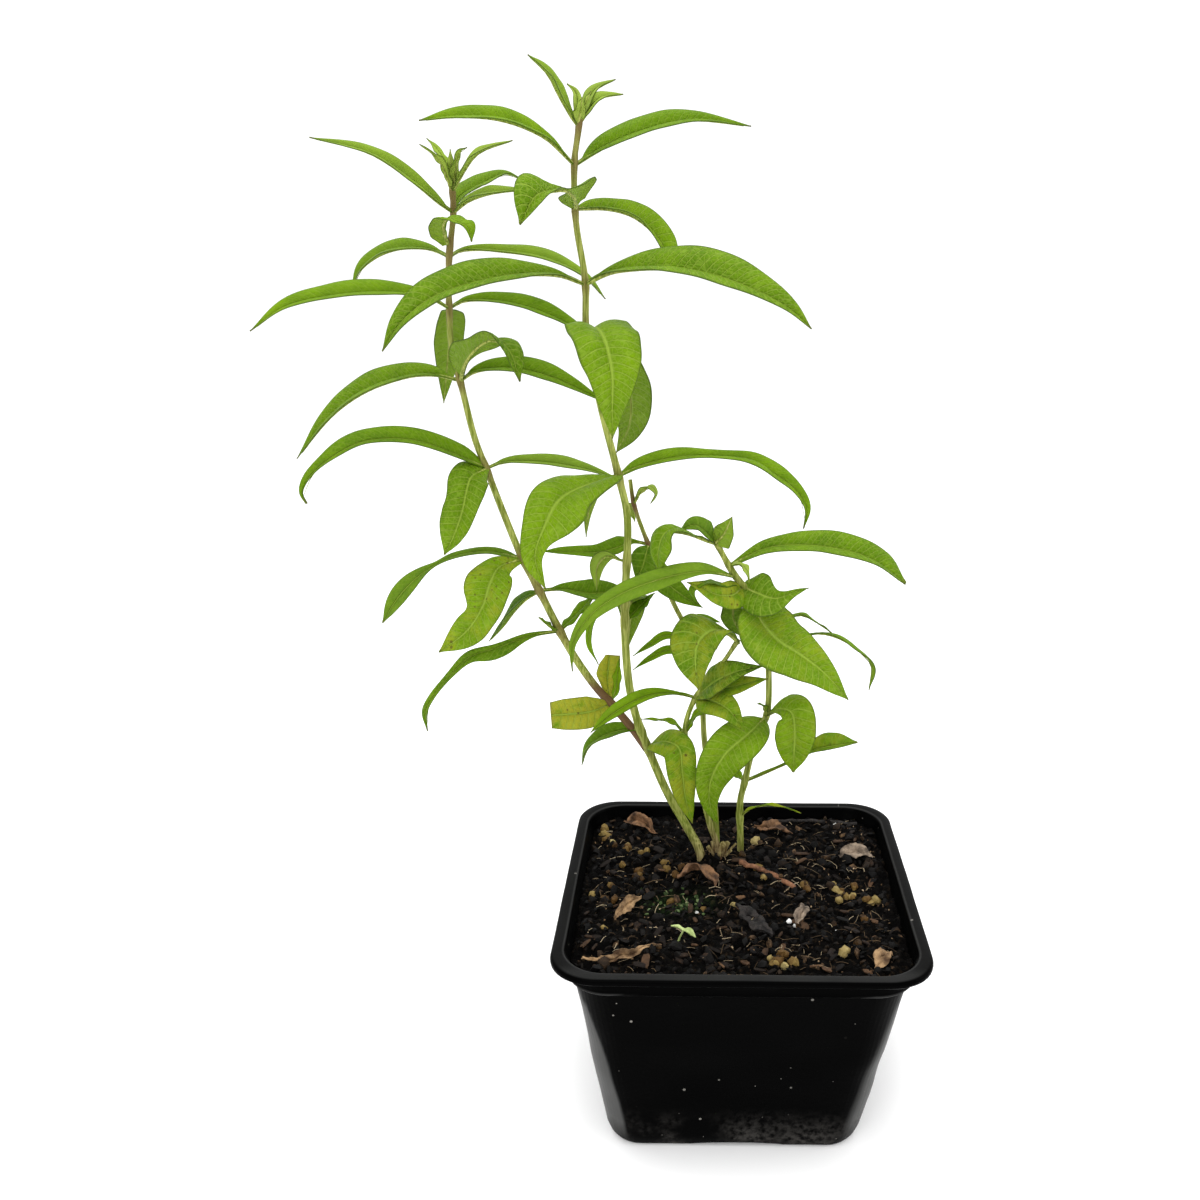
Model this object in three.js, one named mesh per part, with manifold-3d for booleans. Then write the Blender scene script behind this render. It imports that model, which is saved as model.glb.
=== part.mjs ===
// A young lemon verbena in a square nursery pot, in millimetres with +Z up.
// The origin is the middle of the pot's underside, +X is the plant's right and +Y is its back.

import * as THREE from 'three';
import { mergeVertices } from 'three/addons/utils/BufferGeometryUtils.js';
import Module from 'manifold-3d';

const wasm = await Module();
wasm.setup();

// ---- driving dimensions ---------------------------------------------------------------------

const GAP = 0.3;                  // clear space between neighbouring pieces

// the pot, a thin moulded shell
const POT_HEIGHT = 64.5;
const FLANGE_HALF = 50.5;         // half the width across the rolled rim
const FLANGE_CORNER = 13;
const MOUTH_HALF = 46.8;          // half the width of the open mouth
const MOUTH_CORNER = 10.5;
const LIP_HEIGHT = 3.2;           // depth of the rim seen from the side
const COLLAR_HALF = 45.6;         // the straight band under the rim
const COLLAR_DEPTH = 5;
const BODY_TOP_HALF = 44.6;       // just under the collar
const BODY_FOOT_HALF = 38.8;
const BODY_CORNER_TOP = 11;
const BODY_CORNER_FOOT = 9.5;
const BASE_HALF = 35.4;             // the flat part that touches the table
const BASE_ROUND = 4.5;           // height of the rounding round the foot
const WALL = 1.1;
const FLOOR = 1.6;
const NOTCH_WIDTH = 30;           // the low arch in the middle of each side
const NOTCH_HEIGHT = 1.8;
const NOTCH_DEPTH = 4.2;
const DRAIN_RADIUS = 3.5;
const DRAIN_SPREAD = 21;          // from the middle of the floor to each drain hole
const CORNER_STEPS = 6;

// the potting soil
const SOIL_LEVEL = 60.6;
const SOIL_GRID = 18;             // squares across its uneven top
const SOIL_HOLE_DEPTH = 13;
const HOLE_SIDES = 10;

// stems and leaves
const STEM_SIDES = 6;
const STEM_STEP = 8;
const STEM_SUNK = 11;             // how deep a stem stands in the soil
const LEAF_STATIONS = [0, 0.07, 0.16, 0.3, 0.48, 0.66, 0.84, 1];
const SMALL_LEAF = 5;             // leaves narrower than this have fewer stations
const SMALL_LEAF_STATIONS = [0, 0.1, 0.35, 0.7, 1];
const BENT_RIB = 6;               // ribs of this many points have more stations
const BENT_LEAF_STATIONS = [0, 0.06, 0.16, 0.29, 0.43, 0.57, 0.71, 0.86, 1];
const LEAF_HALF_THICK = 0.4;
const KEEL_FOLD = 0.5;            // how far the halves of a rolled blade rise from its midrib
const FLAT_FOLD = 0.14;           // and those of a blade that hangs level
const COMMON_OUTLINE = 0.8;
const LEAF_WAVE = 0.45;           // height of the waves along the edge
const LEAF_WAVES = 2.5;           // waves from base to tip
const STIFF = 0.3;                // a rolled blade's waves beside a level one's
const STALK_HALF = 0.75;          // half the width of a leaf stalk
const TIP_HALF = 0.35;            // and of a leaf's tip

// ---- colours and finishes -------------------------------------------------------------------

const finish = (color, roughness, flatShading = true) =>
  new THREE.MeshStandardMaterial({ color, roughness, metalness: 0, flatShading });

const blackPlastic = finish(0x121314, 0.42, false);
const blackSoil = finish(0x1d1815, 0.95);
const freshLeaf = finish(0x6a9f2f, 0.55);
const darkerLeaf = finish(0x5f9430, 0.55);
const deadLeaf = finish(0x8d6a45, 0.85);
const darkBark = finish(0x37312e, 0.9);
const reddishWood = finish(0x7a4c35, 0.8);
const paleSprout = finish(0xa7bd6d, 0.6);

// ---- small tools ----------------------------------------------------------------------------

const route = (points) =>
  new THREE.CatmullRomCurve3(points.map((point) => new THREE.Vector3(...point)));

function solid(geometry) {
  geometry.deleteAttribute('normal');
  geometry.deleteAttribute('uv');
  const merged = mergeVertices(geometry, 1e-4);
  return new wasm.Manifold(new wasm.Mesh({
    numProp: 3,
    vertProperties: new Float32Array(merged.attributes.position.array),
    triVerts: new Uint32Array(merged.index.array),
  }));
}

function mesh(name, shape, material) {
  const { vertProperties, triVerts } = shape.getMesh();
  const geometry = new THREE.BufferGeometry();
  geometry.setAttribute('position', new THREE.BufferAttribute(new Float32Array(vertProperties), 3));
  geometry.setIndex(new THREE.BufferAttribute(new Uint32Array(triVerts), 1));
  geometry.computeVertexNormals();
  const node = new THREE.Mesh(geometry, material);
  node.name = name;
  return node;
}

const join = (shapes) => wasm.Manifold.union(shapes);

// the corner points of a square with round corners, anticlockwise, at one height
function roundedSquare(half, corner, z) {
  const points = [];
  for (let quarter = 0; quarter < 4; quarter += 1) {
    const [sx, sy] = [[1, 1], [-1, 1], [-1, -1], [1, -1]][quarter];
    for (let step = 0; step <= CORNER_STEPS; step += 1) {
      const angle = (quarter + step / CORNER_STEPS) * Math.PI / 2;
      points.push([
        sx * (half - corner) + corner * Math.cos(angle),
        sy * (half - corner) + corner * Math.sin(angle),
        z,
      ]);
    }
  }
  return points;
}

// a closed solid skinned over rounded squares given as [half width, corner radius, height]
function stack(levels) {
  const rings = levels.map((level) => roundedSquare(...level));
  const count = rings[0].length;
  const bottom = rings.length * count;
  const top = bottom + 1;
  const index = [];
  for (let k = 0; k < count; k += 1) {
    const next = (k + 1) % count;
    for (let ring = 0; ring + 1 < rings.length; ring += 1) {
      const a = ring * count;
      const b = a + count;
      index.push(a + k, a + next, b + next, a + k, b + next, b + k);
    }
    index.push(bottom, next, k);
    index.push(top, bottom - count + k, bottom - count + next);
  }
  const middles = [[0, 0, levels[0][2]], [0, 0, levels.at(-1)[2]]];
  const geometry = new THREE.BufferGeometry();
  geometry.setAttribute('position', new THREE.Float32BufferAttribute([...rings, middles].flat(2), 3));
  geometry.setIndex(index);
  return solid(geometry);
}

// ---- pot ------------------------------------------------------------------------------------

const COLLAR_FOOT = POT_HEIGHT - LIP_HEIGHT - COLLAR_DEPTH;

// outside of the tapered body from the rounding of its foot to the collar, and its inside
const bodyOutside = [
  [BASE_HALF, BODY_CORNER_FOOT - 2, 0],
  [BODY_FOOT_HALF - 1, BODY_CORNER_FOOT - 0.5, BASE_ROUND * 0.35],
  [BODY_FOOT_HALF, BODY_CORNER_FOOT, BASE_ROUND],
  [BODY_TOP_HALF, BODY_CORNER_TOP, COLLAR_FOOT],
];
const bodyInside = [
  [BASE_HALF - WALL, BODY_CORNER_FOOT - 2.5, FLOOR],
  [BODY_FOOT_HALF - WALL, BODY_CORNER_FOOT - 0.8, BASE_ROUND + 1],
  [BODY_TOP_HALF - WALL, BODY_CORNER_TOP - 0.8, COLLAR_FOOT],
];
const COLLAR_INSIDE = [COLLAR_HALF - WALL, BODY_CORNER_TOP - 0.5, COLLAR_FOOT + 1.5];

function pot() {
  const rim = POT_HEIGHT - LIP_HEIGHT;
  const shell = stack([
    ...bodyOutside,
    [COLLAR_HALF, BODY_CORNER_TOP + 0.3, COLLAR_FOOT + 1],
    [COLLAR_HALF + 0.5, BODY_CORNER_TOP + 0.5, rim],
    [FLANGE_HALF - 0.4, FLANGE_CORNER - 0.3, rim],
    [FLANGE_HALF, FLANGE_CORNER, rim + 0.6],
    [FLANGE_HALF, FLANGE_CORNER, POT_HEIGHT - 1],
    [FLANGE_HALF - 0.9, FLANGE_CORNER - 0.6, POT_HEIGHT],
  ]);
  const hollow = stack([
    ...bodyInside,
    COLLAR_INSIDE,
    [MOUTH_HALF - 0.7, MOUTH_CORNER - 0.2, POT_HEIGHT - 2],
    [MOUTH_HALF, MOUTH_CORNER, POT_HEIGHT],
    [MOUTH_HALF, MOUTH_CORNER, POT_HEIGHT + 1],
  ]);
  const cuts = [hollow];
  for (let side = 0; side < 4; side += 1) {
    const turn = side * Math.PI / 2;
    const arch = new THREE.CylinderGeometry(1, 1, NOTCH_DEPTH, 24);
    arch.scale(NOTCH_WIDTH / 2, 1, NOTCH_HEIGHT);
    arch.translate(0, -BODY_FOOT_HALF - 1 + NOTCH_DEPTH / 2, 0);
    arch.rotateZ(turn);
    cuts.push(solid(arch));
    const drain = new THREE.CylinderGeometry(DRAIN_RADIUS, DRAIN_RADIUS, 4 * FLOOR, 16);
    drain.rotateX(Math.PI / 2);
    drain.translate(DRAIN_SPREAD, 0, 0);
    drain.rotateZ(turn + Math.PI / 4);
    cuts.push(solid(drain));
  }
  return mesh('pot', shell.subtract(join(cuts)), blackPlastic);
}

// ---- soil -----------------------------------------------------------------------------------

// height of the uneven soil: slow swells, small lumps and a low mound round the stems
function ground(x, y) {
  const swell = 0.7 * Math.sin(x / 9 + 1) * Math.cos(y / 11);
  const lumps = 0.5 * Math.sin(x * 1.1 + y * 0.7) * Math.sin(y * 1.3 - x * 0.5);
  const mound = 1.2 * Math.exp(-((x + 3) ** 2 + (y - 21) ** 2) / 300);
  return SOIL_LEVEL + swell + lumps + mound;
}

// the air over the soil, whose underside is the soil's top
function airOverSoil() {
  const height = 20;
  const span = 2 * COLLAR_HALF;
  const air = new THREE.BoxGeometry(span, span, height, SOIL_GRID, SOIL_GRID, 1);
  const position = air.attributes.position;
  for (let i = 0; i < position.count; i += 1) {
    const top = position.getZ(i) > 0;
    const level = top ? SOIL_LEVEL + height : ground(position.getX(i), position.getY(i));
    position.setZ(i, level);
  }
  return solid(air);
}

function soil(holes) {
  const inset = ([half, corner, z]) => [half - GAP, corner - GAP, z];
  const [floor, foot, top] = bodyInside.map(inset);
  const collar = inset(COLLAR_INSIDE);
  const block = stack([
    [floor[0], floor[1], FLOOR + GAP],
    foot,
    top,
    collar,
    [collar[0] + 0.3, collar[1], SOIL_LEVEL + 3],
  ]);
  return mesh('soil', block.subtract(join([airOverSoil(), ...holes])), blackSoil);
}

// ---- stems ----------------------------------------------------------------------------------

// a tapered shoot along a smooth route
function shoot(points, rootRadius, tipRadius) {
  const path = route(points);
  const rings = Math.max(2, Math.round(path.getLength() / STEM_STEP));
  const body = new THREE.CylinderGeometry(1, 1, 1, STEM_SIDES, rings);
  const position = body.attributes.position;
  const across = new THREE.Vector3(1, 0, 0);
  for (let i = 0; i < position.count; i += 1) {
    const along = position.getY(i) + 0.5;
    const ahead = path.getTangentAt(along);
    const side = across.clone().addScaledVector(ahead, -across.dot(ahead)).normalize();
    const front = new THREE.Vector3().crossVectors(side, ahead);
    const radius = THREE.MathUtils.lerp(rootRadius, tipRadius, along);
    const place = path.getPointAt(along)
      .addScaledVector(side, position.getX(i) * radius)
      .addScaledVector(front, position.getZ(i) * radius);
    position.setXYZ(i, place.x, place.y, place.z);
  }
  return solid(body);
}

// a plain hole in the soil for a stem that stands at [x, y]
function plainHole([x, y], radius) {
  const hole = new THREE.CylinderGeometry(radius, radius, 2 * SOIL_HOLE_DEPTH, HOLE_SIDES);
  hole.rotateX(Math.PI / 2);
  hole.translate(x, y, SOIL_LEVEL);
  return solid(hole);
}

// the buried foot of a stem and the point where it leaves the soil
const standing = ([x, y]) => [[x, y, SOIL_LEVEL - STEM_SUNK], [x, y, SOIL_LEVEL + 2.5]];

// ---- leaves ---------------------------------------------------------------------------------

// the share of its full width that a blade has at t. A low `full` is broad near the stalk.
const outlineAt = (t, full) => Math.sin(Math.PI * ((t - 0.05) / 0.95) ** full);

// a number, or the value at t of a list that is spread evenly from base to tip
function spread(values, t) {
  if (!Array.isArray(values)) return values;
  const place = t * (values.length - 1);
  const from = Math.min(Math.floor(place), values.length - 2);
  return THREE.MathUtils.lerp(values[from], values[from + 1], place - from);
}

function stationsOf({ rib, wide, left }) {
  if (left || rib.length >= BENT_RIB) return BENT_LEAF_STATIONS;
  return wide < SMALL_LEAF ? SMALL_LEAF_STATIONS : LEAF_STATIONS;
}

// One leaf. It starts inside its stem at the point `on` and follows `rib`, whose points are
// measured from there. `roll` tips its right-hand edge down, in degrees, and may be a list from
// base to tip. `fold` lifts both halves from the midrib, and `limp` is how much the edges wave.
// `left` and `right` list the width of each half where a blade is lopsided, torn or curled.
// Both faces are split into triangles alike, so they stay parallel.
function blade(leaf) {
  const { on, rib, wide, roll = 0, full = COMMON_OUTLINE, left, right } = leaf;
  const { fold = roll ? KEEL_FOLD : FLAT_FOLD, limp = roll ? STIFF : 1 } = leaf;
  const path = route([[0, 0, 0], ...rib]);
  const tip = rib.at(-1);
  const heading = new THREE.Vector3(tip[0], tip[1], 0).normalize();
  const level = new THREE.Vector3(heading.y, -heading.x, 0);
  const stations = stationsOf(leaf);
  const last = stations.length - 1;
  const positions = [];
  stations.forEach((t, station) => {
    const ahead = path.getTangentAt(t);
    const side = level.clone().addScaledVector(ahead, -level.dot(ahead)).normalize();
    side.applyAxisAngle(ahead, THREE.MathUtils.degToRad(spread(roll, t)));
    const upward = new THREE.Vector3().crossVectors(side, ahead);
    const stalk = station < 2;
    const thick = stalk ? STALK_HALF * 0.8 : LEAF_HALF_THICK;
    const centre = path.getPointAt(t).add(new THREE.Vector3(...on));
    for (const face of [1, -1]) {
      for (const edge of [-1, 0, 1]) {
        const outline = edge < 0 ? left : right;
        const share = outline ? spread(outline, t) : outlineAt(t, full);
        const half = stalk ? STALK_HALF : Math.max(TIP_HALF, wide / 2 * share);
        const wave = limp * LEAF_WAVE * Math.sin(2 * Math.PI * LEAF_WAVES * t + edge);
        const rise = stalk || !edge ? 0 : half * fold + wave * 2 * half / wide;
        const point = centre.clone()
          .addScaledVector(side, edge * half)
          .addScaledVector(upward, rise + face * thick);
        positions.push(point.x, point.y, point.z);
      }
    }
  });
  const index = [];
  const quad = (a, b, c, d) => index.push(a, b, c, a, c, d);
  for (let station = 0; station < last; station += 1) {
    const a = station * 6;
    const b = a + 6;
    quad(a, a + 1, b + 1, b);
    quad(a + 1, a + 2, b + 2, b + 1);
    quad(a + 2, a + 5, b + 5, b + 2);
    quad(a + 4, b + 4, b + 5, a + 5);
    quad(a + 3, b + 3, b + 4, a + 4);
    quad(a + 3, a, b, b + 3);
  }
  const end = last * 6;
  for (const [base, flip] of [[0, false], [end, true]]) {
    const cap = [[0, 3, 4], [0, 4, 1], [1, 4, 5], [1, 5, 2]];
    cap.forEach((c) => index.push(...(flip ? c.toReversed() : c).map((v) => base + v)));
  }
  const geometry = new THREE.BufferGeometry();
  geometry.setAttribute('position', new THREE.Float32BufferAttribute(positions, 3));
  geometry.setIndex(index);
  return solid(geometry);
}

const leaves = (whorls) =>
  whorls.flatMap(({ on, blades }) => blades.map((leaf) => blade({ on, ...leaf })));

// ---- the tall stem and its left branch ------------------------------------------------------

const TALL_FOOT = [-11, 17.5];
const TALL_RADIUS = 1.35;
const tallRoute = [
  ...standing(TALL_FOOT), [-15, 19, 71], [-21, 18, 83], [-26, 17, 96], [-30, 16, 108],
  [-32, 15, 118], [-33, 14, 131], [-33, 13, 144], [-32, 12, 170], [-34, 12, 180], [-39, 12, 201],
  [-42, 12, 218], [-42, 12, 231], [-44, 12, 245], [-44, 12, 259], [-43, 12, 265], [-42, 12, 272],
];
const branchRoute = [
  [-27, 17, 98], [-32, 18, 105], [-38, 19, 112], [-42.5, 20, 117], [-46.5, 21, 122.5],
  [-50, 22, 128], [-53, 23, 133.5], [-58, 24, 144], [-63, 25, 154], [-68, 26, 167], [-72, 26, 179],
  [-75, 26, 188], [-78, 26, 203], [-80, 26, 213], [-80, 26, 223], [-79, 25, 236], [-77, 24, 247],
  [-77, 24, 254],
];

// the tall stem's leaves, from its tip down
const tallWhorls = [
  { on: [-43, 12, 267], blades: [
    { rib: [[-4, -2, 6.5], [-6.5, -3, 11], [-11, -4, 15]], wide: 5, roll: -30, full: 0.9 },
    { rib: [[0, 1, 4.5], [-0.5, 2, 7.5], [-2.5, 2, 9.5]], wide: 2.4, roll: -30 },
    { rib: [[2, 3, 4.5], [4, 5, 8.5], [9, 6, 11]], wide: 3.4, roll: 20 },
    { rib: [[2.5, 2, 3.5], [5.5, 3, 6.5], [11, 4, 7.5]], wide: 3.6, roll: 30 },
    { rib: [[1.5, -1, 4], [3.5, -2, 7.5]], wide: 2 },
    { rib: [[1, -2, 3.5], [1.5, -3, 6]], wide: 3, fold: 0.3 },
  ] },
  { on: [-44, 12, 258], blades: [
    { rib: [[-5.5, -6, 5.5], [-15, -12, 9], [-25, -15, 9.5],
        [-34, -17, 8.5]], wide: 6.4, roll: -33, full: 1.1 },
    { rib: [[6.5, 5, 4.5], [16, 9, 8.5], [28.5, 12, 11.5], [44, 15, 10.5]], wide: 7.6, roll: 32,
      fold: 0.45, full: 0.75 },
  ] },
  { on: [-44, 12, 248], blades: [
    { rib: [[5.5, 5, 0.5], [13, 10, -1], [18, 14, -4.5], [21.5, 16, -9.5], [22.5, 16, -13.5]],
      wide: 9, roll: [25, 25, 35, 60, 80], left: [0.1, 0.4, 0.6, 0.75, 0.85, 0.95, 1, 0.9, 0.5],
      right: [0.1, 0.3, 0.5, 0.6, 0.6, 0.6, 0.6, 0.4, 0.2] },
    { rib: [[0.5, -9, 2.5], [-1, -17, 4], [-3, -21, 3.5], [-6.5, -25, 2],
        [-10, -28, -4]], wide: 11, roll: [30, 25, 0, -20, -20],
      left: [0.5, 1.3, 1.2, 0.7, 0.1, 0.1, 0.4, 0.5, 0.3, 0],
      right: [0.1, 0.6, 0.7, 0.2, 0.1, 0.3, 0.9, 1, 0.6, 0] },
  ] },
  { on: [-42, 12, 230], blades: [
    { rib: [[4, -2, 2.5], [17, -9, 4.5], [29.5, -13, 3.5], [41.5, -16, 0], [51, -18, -4.5],
        [56.5, -19, -9]], wide: 12.5, roll: 30, full: 1 },
    { rib: [[-6, -4, 2.5], [-16, -12, 2.5], [-26, -17, 0.5], [-35.5, -20, -3],
        [-42.5, -22, -8.5], [-47.5, -22, -15]], wide: 11, roll: -30, full: 1.1 },
  ] },
  { on: [-42, 12, 218], blades: [
    { rib: [[3.5, -10, 2], [6.5, -18, -1.5], [8, -21, -8], [8, -22, -16], [8, -22, -23.5]],
      wide: 18, full: 0.65 },
    { rib: [[4.5, 10, -2.5], [8, 14, -9.5], [10.5, 17, -19], [9.5, 18, -27.5], [6, 18, -34]],
      wide: 12.5, full: 1.2 },
  ] },
  { on: [-34, 12, 181], blades: [
    { rib: [[5.5, 4, 2], [16, 7, 4], [27, 9, 4], [36, 11, 2.5], [42.5, 12, -1.5], [48.5, 13, -6],
        [52, 14, -11.5], [51.5, 14, -17.5]], wide: 7.2, roll: [30, 30, 30, 30, 35, 55, 75],
      left: [0.1, 0.6, 0.75, 0.7, 0.5, 0.45, 0.7, 0.95, 0.6, 0.4, 0],
      right: [0.1, 0.5, 0.6, 0.6, 0.6, 0.9, 1.4, 0.9, 0.5, 0.3, 0] },
    { rib: [[-7, -9, -0.5], [-14.5, -16, -3.5], [-18, -20, -9.5], [-20.5, -21, -17.5],
        [-18, -22, -25.5]], wide: 17, roll: [0, -5, -15, -30, -39, -39], fold: 0.14,
      left: [0.1, 0.6, 0.85, 0.95, 1.05, 1.2, 1, 0.4, 0.25, 0.15, 0],
      right: [0.1, 0.4, 0.65, 0.82, 0.88, 0.86, 0.76, 0.6, 0.45, 0.25, 0] },
    { rib: [[-6, 8, -4], [-9.5, 13, -11], [-11, 16, -21]], wide: 4.5 },
  ] },
  { on: [-33, 13, 157], blades: [
    { rib: [[-5, 4, 0.5], [-8, 6, -3], [-8.5, 7, -10.5]], wide: 5, roll: 40, fold: 0.14 },
  ] },
  { on: [-33, 13, 145], blades: [
    { rib: [[-6.5, -6, 0.5], [-8.5, -9, -2.5], [-9.5, -10, -8], [-7, -10, -15]], wide: 3 },
    { rib: [[1, 8, -1], [1, 13, -7], [-0.5, 15, -19.5]], wide: 10, full: 0.5 },
  ] },
  { on: [-33, 14, 139], blades: [
    { rib: [[4, 6, 3], [8, 9, 6]], wide: 5 },
  ] },
  { on: [-29, 16, 105], blades: [
    { rib: [[-5.5, 3, -1.5], [-12.5, 5, -5], [-16.5, 6, -9], [-18.5, 7, -15]], wide: 6, roll: -30 },
  ] },
  { on: [-27, 17, 99], blades: [
    { rib: [[5, -6, 4.5], [9.5, -11, 4.5], [10.5, -13, -2], [11.5, -13, -10.5],
        [13.5, -13, -18.5]], wide: 9.5, roll: [15, 35, 46, 46], fold: 0.14,
      left: [0.1, 0.9, 0.95, 0.9, 0.9, 0.8, 0.65, 0.4, 0],
      right: [0.1, 0.9, 1.1, 1.1, 1, 0.9, 0.7, 0.4, 0] },
  ] },
];

// the left branch's leaves, from its tip down
const branchWhorls = [
  { on: [-77, 24, 252], blades: [
    { rib: [[-1, -3, 5.5], [-3, -4, 8.5], [-6.5, -5, 11]], wide: 3.5 },
    { rib: [[-2, 2, 7.5], [-4, 3, 10.5], [-6.5, 4, 13]], wide: 4.2 },
    { rib: [[1.5, -2, 5.5], [3, -3, 9.5], [5, -3, 10.5]], wide: 3 },
    { rib: [[3.5, -3, 4.5], [8, -5, 9], [17, -6, 12]], wide: 3.4, roll: 30 },
    { rib: [[0.5, -2, 6], [0.5, -2, 10]], wide: 2.5 },
  ] },
  { on: [-77, 24, 247], blades: [
    { rib: [[-3, -3, 2.5], [-9.5, -6, 8], [-18, -9, 13.5], [-32.5, -10, 17]], wide: 5, roll: -35,
      full: 0.7 },
    { rib: [[1, 5, 4], [5.5, 10, 7], [12, 13, 10], [16, 14, 9]], wide: 6, roll: 20 },
    { rib: [[4, -4, 2.5], [11, -8, 4.5], [21.5, -11, 5.5]], wide: 4.5, roll: 30 },
  ] },
  { on: [-79, 25, 239], blades: [
    { rib: [[0.5, -8, 4.5], [3, -14, 6.5], [6, -17, 5.5], [8.5, -18, 4.5], [9.5, -18, 1]],
      wide: 7.4, left: [0.1, 0.15, 0.2, 0.3, 1, 0.8, 0], right: [0.4, 1, 1, 0.6, 0.2, 0.3, 0] },
  ] },
  { on: [-79, 25, 236], blades: [
    { rib: [[-5.5, 5, 2], [-15, 10, 2], [-22, 13, 0], [-28, 15, -4], [-31, 16, -9]], wide: 6,
      roll: [-30, -30, -40, -70], full: 1.2 },
    { rib: [[3, 6, 2], [13.5, 9, 1.5], [25.5, 9, -0.5], [35, 9, -5], [40.5, 8, -10.5]], wide: 5.2,
      roll: 30, full: 1.1 },
  ] },
  { on: [-80, 26, 223], blades: [
    { rib: [[-4.5, -7, 3.5], [-15.5, -11, 4.5], [-27.5, -14, 3.5], [-38.5, -16, 1],
        [-48, -17, -5]], wide: 7, roll: -30, full: 0.9 },
    { rib: [[3.5, 4, 2], [14, 6, 1.5], [26.5, 6, -2], [40, 4, -9]], wide: 6.6, roll: 30, full: 1 },
    { rib: [[-1.5, 10, -3], [-4, 15, -12], [-7, 18, -27.5]], wide: 8.5 },
  ] },
  { on: [-78, 26, 204], blades: [
    { rib: [[-9, 3, 1.5], [-19.5, 6, -0.5], [-30.5, 9, -5], [-40.5, 11, -12], [-51.5, 12, -24]],
      wide: 9.5, roll: [-28, -30, -40, -45] },
    { rib: [[4.5, -3, 3], [14.5, -5, 4], [25, -6, 2], [40, -6, -4.5]], wide: 7.2, roll: 30,
      full: 0.9 },
    { rib: [[3, -7, 5.5], [8, -13, 10.5], [13, -17, 12.5], [17, -20, 9.5], [19.5, -22, 2.5]],
      wide: 12, roll: [-50, -50, -45, -10, 0], fold: 0.3,
      left: [0.1, 0.1, 0.1, 0.3, 0.7, 0.75, 0.5, 0], right: [0.3, 0.9, 1, 0.5, 0.5, 0.5, 0.4, 0] },
  ] },
  { on: [-72, 26, 180], blades: [
    { rib: [[-8, -4, 4.5], [-19, -8, 9], [-30.5, -11, 9], [-38.5, -13, 5.5], [-45, -14, 0.5],
        [-48, -14, -4.5], [-47, -14, -7.5]], wide: 7.6, roll: -30,
      left: [0.1, 0.6, 0.8, 0.8, 0.8, 0.7, 0.6, 0.5, 0.3, 0.2, 0],
      right: [0.1, 0.8, 1, 0.95, 0.9, 0.85, 0.9, 0.8, 0.45, 0.4, 0.1] },
    { rib: [[4, 5, 1], [14, 8, 0.5], [25, 8, -1], [36, 8, -4]], wide: 5, roll: 30, full: 1 },
    { rib: [[-3.5, -6, -1.5], [-4.5, -9, -5], [-5.5, -11, -10], [-8, -12, -16.5], [-11, -12, -22]],
      wide: 12, roll: -30, fold: 0.14, left: [0.1, 0.6, 1, 0.9, 0.7, 0.6, 0.35, 0],
      right: [0.2, 0.9, 1, 0.85, 0.95, 0.9, 0.6, 0] },
  ] },
  { on: [-63, 25, 154], blades: [
    { rib: [[-9.5, 1, 2], [-20, 3, 0], [-27, 4, -3.5], [-33.5, 5, -8.5], [-39, 6, -14.5],
        [-44, 7, -22]], wide: 6, roll: [-25, -25, -25, -30, -60, -70, -70], fold: 0.3,
      left: [0.1, 0.5, 0.55, 0.55, 0.45, 0.3, 0.7, 1, 1, 0.7, 0],
      right: [0.1, 0.5, 0.55, 0.55, 0.45, 0.3, 0.7, 1, 1, 0.7, 0] },
    { rib: [[-6, -5, -1], [-8, -9, -4.5], [-10, -11, -10.5], [-15, -12, -18], [-23, -13, -24]],
      wide: 15, roll: -50, fold: 0.1, limp: 1,
      left: [0.1, 0.3, 0.55, 0.8, 0.85, 0.8, 0.75, 0.7, 0.55, 0.3, 0],
      right: [0.1, 0.2, 0.5, 0.85, 0.97, 0.78, 0.5, 0.6, 0.55, 0.3, 0] },
  ] },
  { on: [-58, 24, 145], blades: [
    { rib: [[-4, 2, -2.5], [-9, 5, -8], [-12.5, 7, -13], [-17.5, 8, -18.5]], wide: 6.5, roll: -25 },
    { rib: [[5.5, 2, 0], [14, 4, -2], [20.5, 5, -1.8], [25, 5, -1.5]], wide: 8, roll: 30,
      full: 1.3 },
  ] },
  { on: [-53, 23, 133], blades: [
    { rib: [[-2, -1, 1.5], [-5.5, -2, 5]], wide: 5 },
    { rib: [[-8, -3, -0.5], [-17.5, -7, -3], [-24.5, -9, -5], [-30, -10, -10],
        [-35.5, -11, -16.5], [-38, -11, -21.5], [-38, -11, -27.5]], wide: 9,
      roll: [-30, -60, -65, -45, -35, -35], fold: 0.4,
      left: [0.1, 0.1, 0.3, 0.7, 0.75, 0.4, 0.25, 0.2, 0.2, 0.25, 0],
      right: [0.1, 0.15, 0.25, 0.25, 0.3, 0.4, 0.3, 0.25, 0.25, 0.3, 0] },
    { rib: [[4.5, 4, 3.5], [11.5, 6, 11]], wide: 6 },
  ] },
  { on: [-38, 19, 112], blades: [
    { rib: [[-5.5, -4, -1], [-17, -6, -1.5]], wide: 9.5, roll: -70, fold: 0.14,
      left: [0.1, 0.7, 1, 1, 0.95, 0.8], right: [0.1, 0.7, 1, 1, 0.95, 0.8] },
    { rib: [[-1, 3, 5.5], [-0.5, 5, 13.5]], wide: 7, left: [0.1, 0.3, 0.6, 1, 0.8, 0.3],
      right: [0.1, 0.3, 0.5, 0.8, 1, 0.9] },
    { rib: [[1.5, 2, 4], [2.5, 3, 13]], wide: 3.5 },
  ] },
];

function tallStem() {
  const wood = [shoot(tallRoute, TALL_RADIUS, 0.65), shoot(branchRoute, 1.2, 0.65)];
  return mesh('tall_stem', join([...wood, ...leaves([...tallWhorls, ...branchWhorls])]), freshLeaf);
}

// ---- the thin stem at the back --------------------------------------------------------------

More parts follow.
